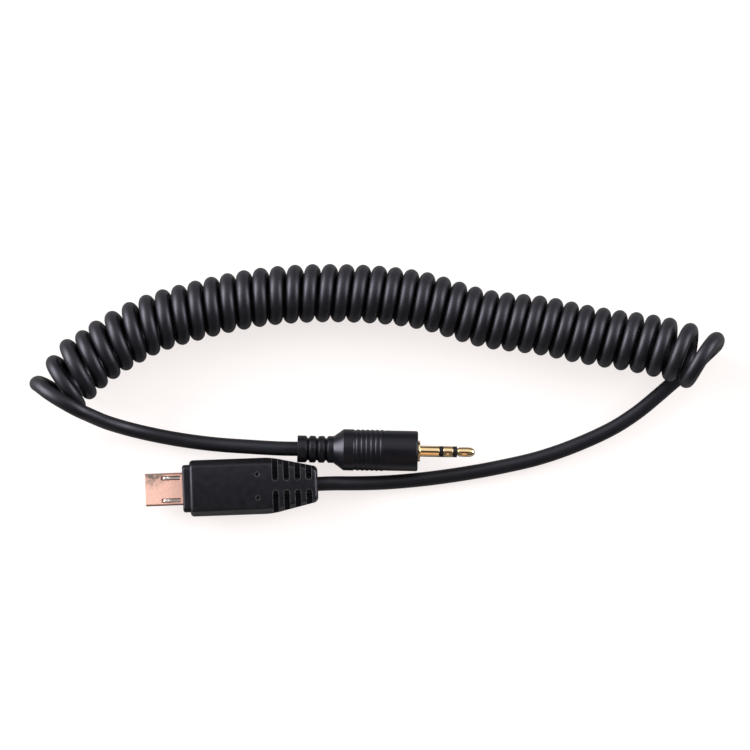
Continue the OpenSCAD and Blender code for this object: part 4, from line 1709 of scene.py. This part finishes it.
    def build_housing(self, material: bpy.types.Material) -> bpy.types.Object:
        """Makes the housing with its flex slots, dimples and inner room.

        Args:
            material: Its plastic.

        Returns:
            The housing.
        """
        end = self.body_length + self.tail_length
        cutters = [
            self.slot_cutter(index, side, face)
            for index in range(self.slots) for side in Side for face in (1, -1)
        ]
        mesh = combine(self.body(), join(bmesh.new(), *cutters), "DIFFERENCE")
        core = rod(self.body_length - OVERLAP, end - self.core_inset, self.core_radius, 64)
        mesh = combine(mesh, core, "UNION")
        half_w, half_h = self.mould_width / 2, self.mould_height / 2
        room = block((-OVERLAP, -half_w, -half_h), (self.mould_length, half_w, half_h))
        mesh = combine(mesh, room, "DIFFERENCE")
        bore = rod(self.mould_length - OVERLAP, end + OVERLAP, self.cord_bore, 48)
        dimples = []
        for side in Side:
            dimple = bmesh.new()
            bmesh.ops.create_uvsphere(dimple, u_segments=24, v_segments=16, radius=self.dimple * MM)
            bmesh.ops.scale(dimple, vec=(1, 1, self.dimple_depth / self.dimple), verts=dimple.verts)
            middle = scaled(self.dimple_x, side.value * self.dimple_y, self.height / 2)
            bmesh.ops.translate(dimple, vec=middle, verts=dimple.verts)
            dimples.append(dimple)
        mesh = combine(mesh, join(bore, *dimples), "DIFFERENCE")
        soften(mesh, self.slot_edge, segments=2, angle=35)
        return stand_in(
            "terminal_grip", mesh, self.matrix, material,
            "terminal_plug", ["terminal_housing"], smooth=40,
        )

    def outline(self, inset: float, x: float, length: float) -> bmesh.types.BMesh:
        """Makes a bar with the shell's D shape.

        Args:
            inset: How far its faces lie inside the shell's outside.
            x: Where it starts.
            length: How long it is.

        Returns:
            The closed bar.
        """
        half_w, half_h = self.shell_width / 2 - inset, self.shell_height / 2 - inset
        slope_w, slope_h = self.shell_slope
        corner = max(self.shell_corner - inset, self.least_corner)
        upper = [
            point for side, first in ((1, 0), (-1, 90))
            for point in arc((side * (half_w - corner), half_h - corner), corner, first, first + 90, 5)
        ]
        lower = [
            (-half_w, -half_h + slope_h), (-half_w + slope_w, -half_h), (half_w - slope_w, -half_h),
            (half_w, -half_h + slope_h),
        ]
        return bar([scaled(x, y, z) for y, z in upper + lower], scaled(length, 0, 0))

    def build_shell(self, material: bpy.types.Material) -> bpy.types.Object:
        """Makes the drawn shell with its two windows.

        Args:
            material: Its plating.

        Returns:
            The shell.
        """
        length = self.shell_out + self.collar_length + self.shell_in
        outside = self.outline(0, self.mouth_x, length)
        inside = self.outline(self.sheet, self.mouth_x - OVERLAP, length + 2 * OVERLAP)
        mesh = combine(outside, inside, "DIFFERENCE")
        windows = []
        for side in Side:
            y, half, top = side.value * self.latch_y, self.window_width / 2, self.shell_height / 2
            low, high = top - 2 * self.sheet, top + OVERLAP
            window = block((self.window_x, y - half, low), (self.window_end, y + half, high))
            soften(window, self.window_corner, segments=4, angle=60, edges=along(window, 2))
            windows.append(window)
        mesh = combine(mesh, join(bmesh.new(), *windows), "DIFFERENCE")
        soften(mesh, self.sheet_edge, segments=2, angle=40)
        return stand_in(
            "plug_shell", mesh, self.matrix, material, "terminal_plug", ["terminal_shell"]
        )

    def build_collar(self, material: bpy.types.Material) -> bpy.types.Object:
        """Makes the collar round the root of the shell.

        Args:
            material: Its plastic.

        Returns:
            The collar.
        """
        half_w, half_h = self.collar_width / 2, self.collar_height / 2
        mesh = block((-self.collar_length, -half_w, -half_h), (0, half_w, half_h))
        bevel(mesh, along(mesh, 0), self.collar_corner, 6)
        front = [
            edge for edge in mesh.edges
            if all(vertex.co.x < TINY - self.collar_length * MM for vertex in edge.verts)
        ]
        soften(mesh, self.collar_edge, segments=4, angle=60, edges=front)
        opening = self.outline(
            -self.collar_gap, -self.collar_length - OVERLAP, self.collar_length + 2 * OVERLAP
        )
        mesh = combine(mesh, opening, "DIFFERENCE")
        return stand_in(
            "plug_collar", mesh, self.matrix, material,
            "terminal_plug", ["terminal_collar"],
        )

    def build_latch(self, side: Side, material: bpy.types.Material) -> bpy.types.Object:
        """Makes one latch spring.

        Args:
            side: Which of the two.
            material: Its steel.

        Returns:
            The latch.
        """
        top, sheet = self.shell_height / 2, self.latch_sheet
        root_x, root_z = -self.collar_length + self.root[0], self.root[1]
        hook = self.window_x + self.hook_x
        hook_end, foot, heel = hook + self.hook_length, hook - self.hook_slopes[0], hook + self.hook_slopes[1]
        under = top - self.sheet
        low, high = (under - drop for drop in self.arm_drop)
        crest = top + self.hook_height
        inside = crest - self.hook_wall * sheet
        arm = [
            (root_x, root_z + sheet / 2), (self.window_end, low), (heel, high), (hook_end, crest),
            (hook, crest), (foot, under), (foot + sheet, under - sheet), (hook + sheet, inside),
            (hook_end - sheet / 2, inside), (heel - sheet / 2, high - sheet),
            (self.window_end, low - sheet), (root_x, root_z - sheet / 2),
        ]
        start = side.value * self.latch_y - self.latch_width / 2
        mesh = bar([scaled(x, start, z) for x, z in arm], scaled(0, self.latch_width, 0))
        soften(mesh, self.latch_edge, segments=2, angle=25)
        roll = bmesh.new()
        bmesh.ops.create_cone(
            roll, cap_ends=True, segments=32, radius1=self.root_radius * MM, radius2=self.root_radius * MM,
            depth=self.latch_width * MM, matrix=Matrix.Rotation(radians(90), 4, "X"),
        )
        bmesh.ops.translate(roll, vec=scaled(root_x, side.value * self.latch_y, root_z), verts=roll.verts)
        mesh = combine(mesh, roll, "UNION")
        latch = f"{side.name.lower()}_latch"
        spring = f"{latch}_spring"
        return stand_in(spring, mesh, self.matrix, material, spring, [latch])


# ---- This cable's finishes ------------------------------------------------------------------------


JACK_MOULDING = Plastic(
    "jack_moulding", (0.0028, 0.0032, 0.0044), (0.0048, 0.0054, 0.007), roughness=0.26, grain=0.2,
    relief=0.003, edge_wear_and_highlight=(0.03, 0.032, 0.038), shine=0.36,
)
PIN_PLATING = Plating(
    "pin_plating", (1.0, 0.83, 0.5), (1.0, 0.66, 0.32), roughness=0.09, spread=0.06, brushed=(6, 1, 1),
    relief=0.0006,
)
PIN_COLLAR = Plastic(
    "pin_collar", (0.008, 0.007, 0.007), (0.012, 0.01, 0.009), roughness=0.25, relief=0.002,
    edge_wear_and_highlight=(0.03, 0.025, 0.02),
)
# The pale edge colour and wide rim paint a highlight on the slot rims and the front edge, where they would
# catch the lamps.
TERMINAL_MOULDING = Plastic(
    "terminal_moulding", (0.0022, 0.0022, 0.003), (0.0068, 0.0068, 0.0082), roughness=0.3, grain=0.16,
    relief=0.016, patch=1.6, edge_wear_and_highlight=(0.17, 0.17, 0.18), rim=0.27,
)
COLLAR_MOULDING = Plastic(
    "collar_moulding", (0.0042, 0.0043, 0.0055), (0.007, 0.0072, 0.0088), roughness=0.34, relief=0.005,
    edge_wear_and_highlight=(0.03, 0.03, 0.034),
)
SPRING_STEEL = Plating(
    "spring_steel", (1.0, 0.99, 0.97), (0.78, 0.76, 0.7), roughness=0.34, patch=0.8, brushed=(0.15, 1, 1)
)


INNER_FINISHES: dict[Plastic | Plating, tuple[str, ...]] = {
    Plating("tinned_lug", (0.72, 0.56, 0.3), (0.6, 0.58, 0.52), roughness=0.3): (
        "jack_tip_lug", "jack_ring_lug", "jack_sleeve_lug",
    ),
    Plastic(
        "pressed_fibre", (0.5, 0.12, 0.07), (0.4, 0.1, 0.06), roughness=0.7, edge_wear_and_highlight=(0.6, 0.25, 0.18)
    ): ("jack_front_washer", "jack_rear_washer"),
    Plastic(
        "white_core", (0.62, 0.64, 0.66), (0.55, 0.56, 0.58), roughness=0.45, edge_wear_and_highlight=(0.7, 0.7, 0.72)
    ): ("jack_focus_wire", "terminal_focus_wire"),
    Plastic(
        "red_core", (0.5, 0.05, 0.04), (0.4, 0.04, 0.035), roughness=0.45, edge_wear_and_highlight=(0.6, 0.12, 0.1)
    ): ("jack_shutter_wire", "terminal_shutter_wire"),
    Plating("copper_strands", (0.62, 0.32, 0.16), (0.45, 0.22, 0.12), brushed=(0.1, 1, 1)): (
        "jack_ground_wire", "terminal_ground_wire",
    ),
    Plastic(
        "inner_moulding", (0.7, 0.7, 0.64), (0.62, 0.61, 0.55), roughness=0.5, edge_wear_and_highlight=(0.78, 0.78, 0.74)
    ): ("jack_inner_mould", "terminal_inner_mould"),
    Plastic("tongue_moulding", (0.02, 0.02, 0.022), (0.03, 0.03, 0.032), roughness=0.3, relief=0.003): (
        "terminal_insulator",
    ),
    Plating("contact_plating", (0.83, 0.62, 0.28), (0.7, 0.5, 0.24), patch=0.6, brushed=(0.2, 1, 1)): (
        "upper_contacts", "lower_contacts",
    ),
    Plating("clamp_steel", (0.6, 0.6, 0.6), (0.42, 0.42, 0.43), roughness=0.32): ("terminal_cord_clamp",),
}


def dress_frame(frame: dict, effects: Effects) -> None:
    """Gives the CAD nodes that keep their shape their finishes.

    Args:
        frame: The loaded frame.
        effects: The shared node groups.
    """
    for finish, nodes in INNER_FINISHES.items():
        material = finish.build(effects)
        for node in nodes:
            piece = frame["nodes"][node]
            piece.data.materials.clear()
            piece.data.materials.append(material)
        LOG.info("%s on %s", finish.name, ", ".join(nodes))


# ---- Studio --------------------------------------------------------------------------------------


@dataclass(frozen=True)
class Lamp:
    """A soft lamp that points at the cable.

    Attributes:
        name: Its name.
        way: Its direction from the cable in degrees, from +X towards +Y.
        rise: Its angle above the table in degrees.
        size: Its width and height in metres.
        power: Its power in watts.
        colour: Its colour.
    """

    name: str
    way: float
    rise: float
    size: Pair
    power: float
    colour: Colour = (0.98, 0.975, 1.0)


@dataclass(frozen=True)
class Studio:
    """A white table under soft lamps, seen from straight above.

    Attributes:
        middle: Point of the table under the camera, in millimetres.
        distance: Height of the camera in millimetres.
        level: Height in millimetres at which the picture's width is measured.
        frame_width: Width of the picture there in millimetres.
        roll: Angle of the picture in degrees.
        table: Size of the table in metres.
        glow: How much brighter than its lit face the table looks.
        gloss_glow: Share of that glow which glosses show.
        table_drop: How far the table lies under the cable, in millimetres.
        table_colour: Colour of its lit face.
        glow_colour: Colour of its glow.
        sky_colour: Colour of the sky.
        near_sky: Where the sky begins to brighten, along Y, and its radiance up to there.
        far_sky: Where it is full, and its radiance from there on.
        low_sky: Up to what height along Z the sky is dimmed, and to what share.
        high_sky: From what height on it isn't, and its share.
        round_lens: Where the dark round the camera begins, along Z, and its share for glosses.
        at_lens: Where it is full, and its share.
        clip: Nearest and furthest distance that the camera sees, in metres.
        lamp_distance: Distance of the lamps in metres.
        lamps: The lamps.
    """

    middle: Pair = (14.57, 22.67)
    distance: float = 4000.0
    level: float = 5.0
    frame_width: float = 170.45
    roll: float = 1.1
    table: float = 6.0
    glow: float = 0.79
    gloss_glow: float = 0.12
    table_drop: float = 0.02
    table_colour: Colour = (0.3, 0.295, 0.29)
    glow_colour: Colour = (1.0, 0.94, 0.925)
    sky_colour: Colour = (0.985, 0.985, 1.0)
    near_sky: Pair = (-0.06, 0.13)
    far_sky: Pair = (0.34, 0.98)
    low_sky: Pair = (0.15, 0.3)
    high_sky: Pair = (0.55, 1.0)
    round_lens: Pair = (0.955, 1.0)
    at_lens: Pair = (0.985, 0.15)
    clip: Pair = (0.5, 20.0)
    lamp_distance: float = 1.4
    lamps: tuple[Lamp, ...] = (
        Lamp("left_softbox", 160, 18, (1.25, 0.85), 46),
        Lamp("right_softbox", 16, 22, (0.95, 0.6), 20),
        Lamp("warm_card", 270, 38, (0.14, 1.1), 0.45, (1.0, 0.6, 0.36)),
    )

    def place_camera(self) -> None:
        """Puts the camera straight above the cable."""
        data = bpy.data.cameras.new("view_camera")
        data.lens = data.sensor_width * (self.distance - self.level) / self.frame_width
        data.clip_start, data.clip_end = self.clip
        camera = add_object("view_camera", data)
        camera.location = scaled(*self.middle, self.distance)
        camera.rotation_euler = (0, 0, radians(self.roll))
        bpy.context.scene.camera = camera

    def lay_table(self) -> None:
        """Lays the white table that takes the shadows."""
        mesh = bmesh.new()
        bmesh.ops.create_grid(mesh, x_segments=1, y_segments=1, size=self.table / 2)
        bmesh.ops.translate(mesh, vec=scaled(0, 0, -self.table_drop), verts=mesh.verts)
        material, tree, shader = start_material("white_table")
        shader.inputs["Base Color"].default_value = (*self.table_colour, 1)
        shader.inputs["Roughness"].default_value = 0.9
        shader.inputs["Specular IOR Level"].default_value = 0.1
        glow = tree.add("Emission", Color=(*self.glow_colour, 1))
        ray = tree.add("LightPath").outputs
        seen = tree.math("MULTIPLY_ADD", ray["Is Glossy Ray"], self.gloss_glow, ray["Is Camera Ray"])
        seen = tree.math("MAXIMUM", seen, ray["Is Transmission Ray"])
        tree.link(tree.math("MULTIPLY", seen, self.glow), glow.inputs["Strength"])
        sum_shader = tree.add("AddShader")
        tree.link(shader.outputs[0], sum_shader.inputs[0])
        tree.link(glow.outputs[0], sum_shader.inputs[1])
        output = next(node for node in material.node_tree.nodes if node.type == "OUTPUT_MATERIAL")
        tree.link(sum_shader.outputs[0], output.inputs[0])
        finish_piece("table", mesh, Matrix.Identity(4), material)

    def hang(self, lamp: Lamp) -> None:
        """Hangs a lamp so that it points at the cable.

        Args:
            lamp: The lamp.
        """
        data = bpy.data.lights.new(lamp.name, "AREA")
        data.shape = "RECTANGLE"
        data.size, data.size_y = lamp.size
        data.energy = lamp.power
        data.color = lamp.colour
        piece = add_object(lamp.name, data)
        way, rise = radians(lamp.way), radians(lamp.rise)
        line = Vector((cos(rise) * cos(way), cos(rise) * sin(way), sin(rise)))
        piece.location = scaled(*self.middle, 0) + self.lamp_distance * line
        piece.rotation_euler = line.to_track_quat("Z", "Y").to_euler()

    def light(self) -> None:
        """Sets the sky, which is brighter behind the coil and dark round the camera, and the lamps."""
        world = bpy.data.worlds.new("studio_sky")
        world.use_nodes = True
        world.node_tree.nodes.clear()
        tree = Tree(world.node_tree)
        sky = tree.add("Background", Color=(*self.sky_colour, 1))
        output = tree.add("OutputWorld")
        ray = tree.add("LightPath").outputs
        way = tree.add("SeparateXYZ")
        tree.link(tree.add("TexCoord").outputs["Generated"], way.inputs[0])
        across = tree.span(way.outputs["Y"], self.near_sky, self.far_sky, "SMOOTHSTEP")
        upwards = tree.span(way.outputs["Z"], self.low_sky, self.high_sky, "SMOOTHSTEP")
        lens = tree.span(way.outputs["Z"], self.round_lens, self.at_lens, "SMOOTHSTEP")
        dim = tree.math("MULTIPLY_ADD", ray["Is Glossy Ray"], tree.math("SUBTRACT", lens, 1.0), 1.0)
        lit = tree.math("MULTIPLY", tree.math("MULTIPLY", across, upwards), dim)
        white = tree.math("MAXIMUM", ray["Is Camera Ray"], ray["Is Transmission Ray"])
        rest = tree.math("MULTIPLY", lit, tree.math("SUBTRACT", 1.0, white))
        tree.link(tree.math("ADD", rest, white), sky.inputs["Strength"])
        tree.link(sky.outputs[0], output.inputs[0])
        bpy.context.scene.world = world
        for lamp in self.lamps:
            self.hang(lamp)

    def build(self) -> None:
        """Sets up the camera, the table and the light."""
        bpy.context.scene.view_settings.view_transform = "Standard"
        self.place_camera()
        self.lay_table()
        self.light()


# ---- The whole -----------------------------------------------------------------------------------


def main() -> None:
    """Builds the studio, the cord, both plugs and the finishes."""
    logging.basicConfig(level=logging.INFO, format="%(name)s: %(message)s")
    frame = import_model()
    Studio().build()
    effects = Effects()
    Cord().build(Jacket().build(effects))
    jack = JackPlug()
    jack.build_housing(JACK_MOULDING.build(effects))
    jack.build_pin(PIN_PLATING.build(effects), PIN_COLLAR.build(effects))
    plug = TerminalPlug()
    plug.build_housing(TERMINAL_MOULDING.build(effects))
    plug.build_shell(DrawnShell().build(effects))
    plug.build_collar(COLLAR_MOULDING.build(effects))
    steel = SPRING_STEEL.build(effects)
    for side in Side:
        plug.build_latch(side, steel)
    dress_frame(frame, effects)


if __name__ == "__main__":
    main()
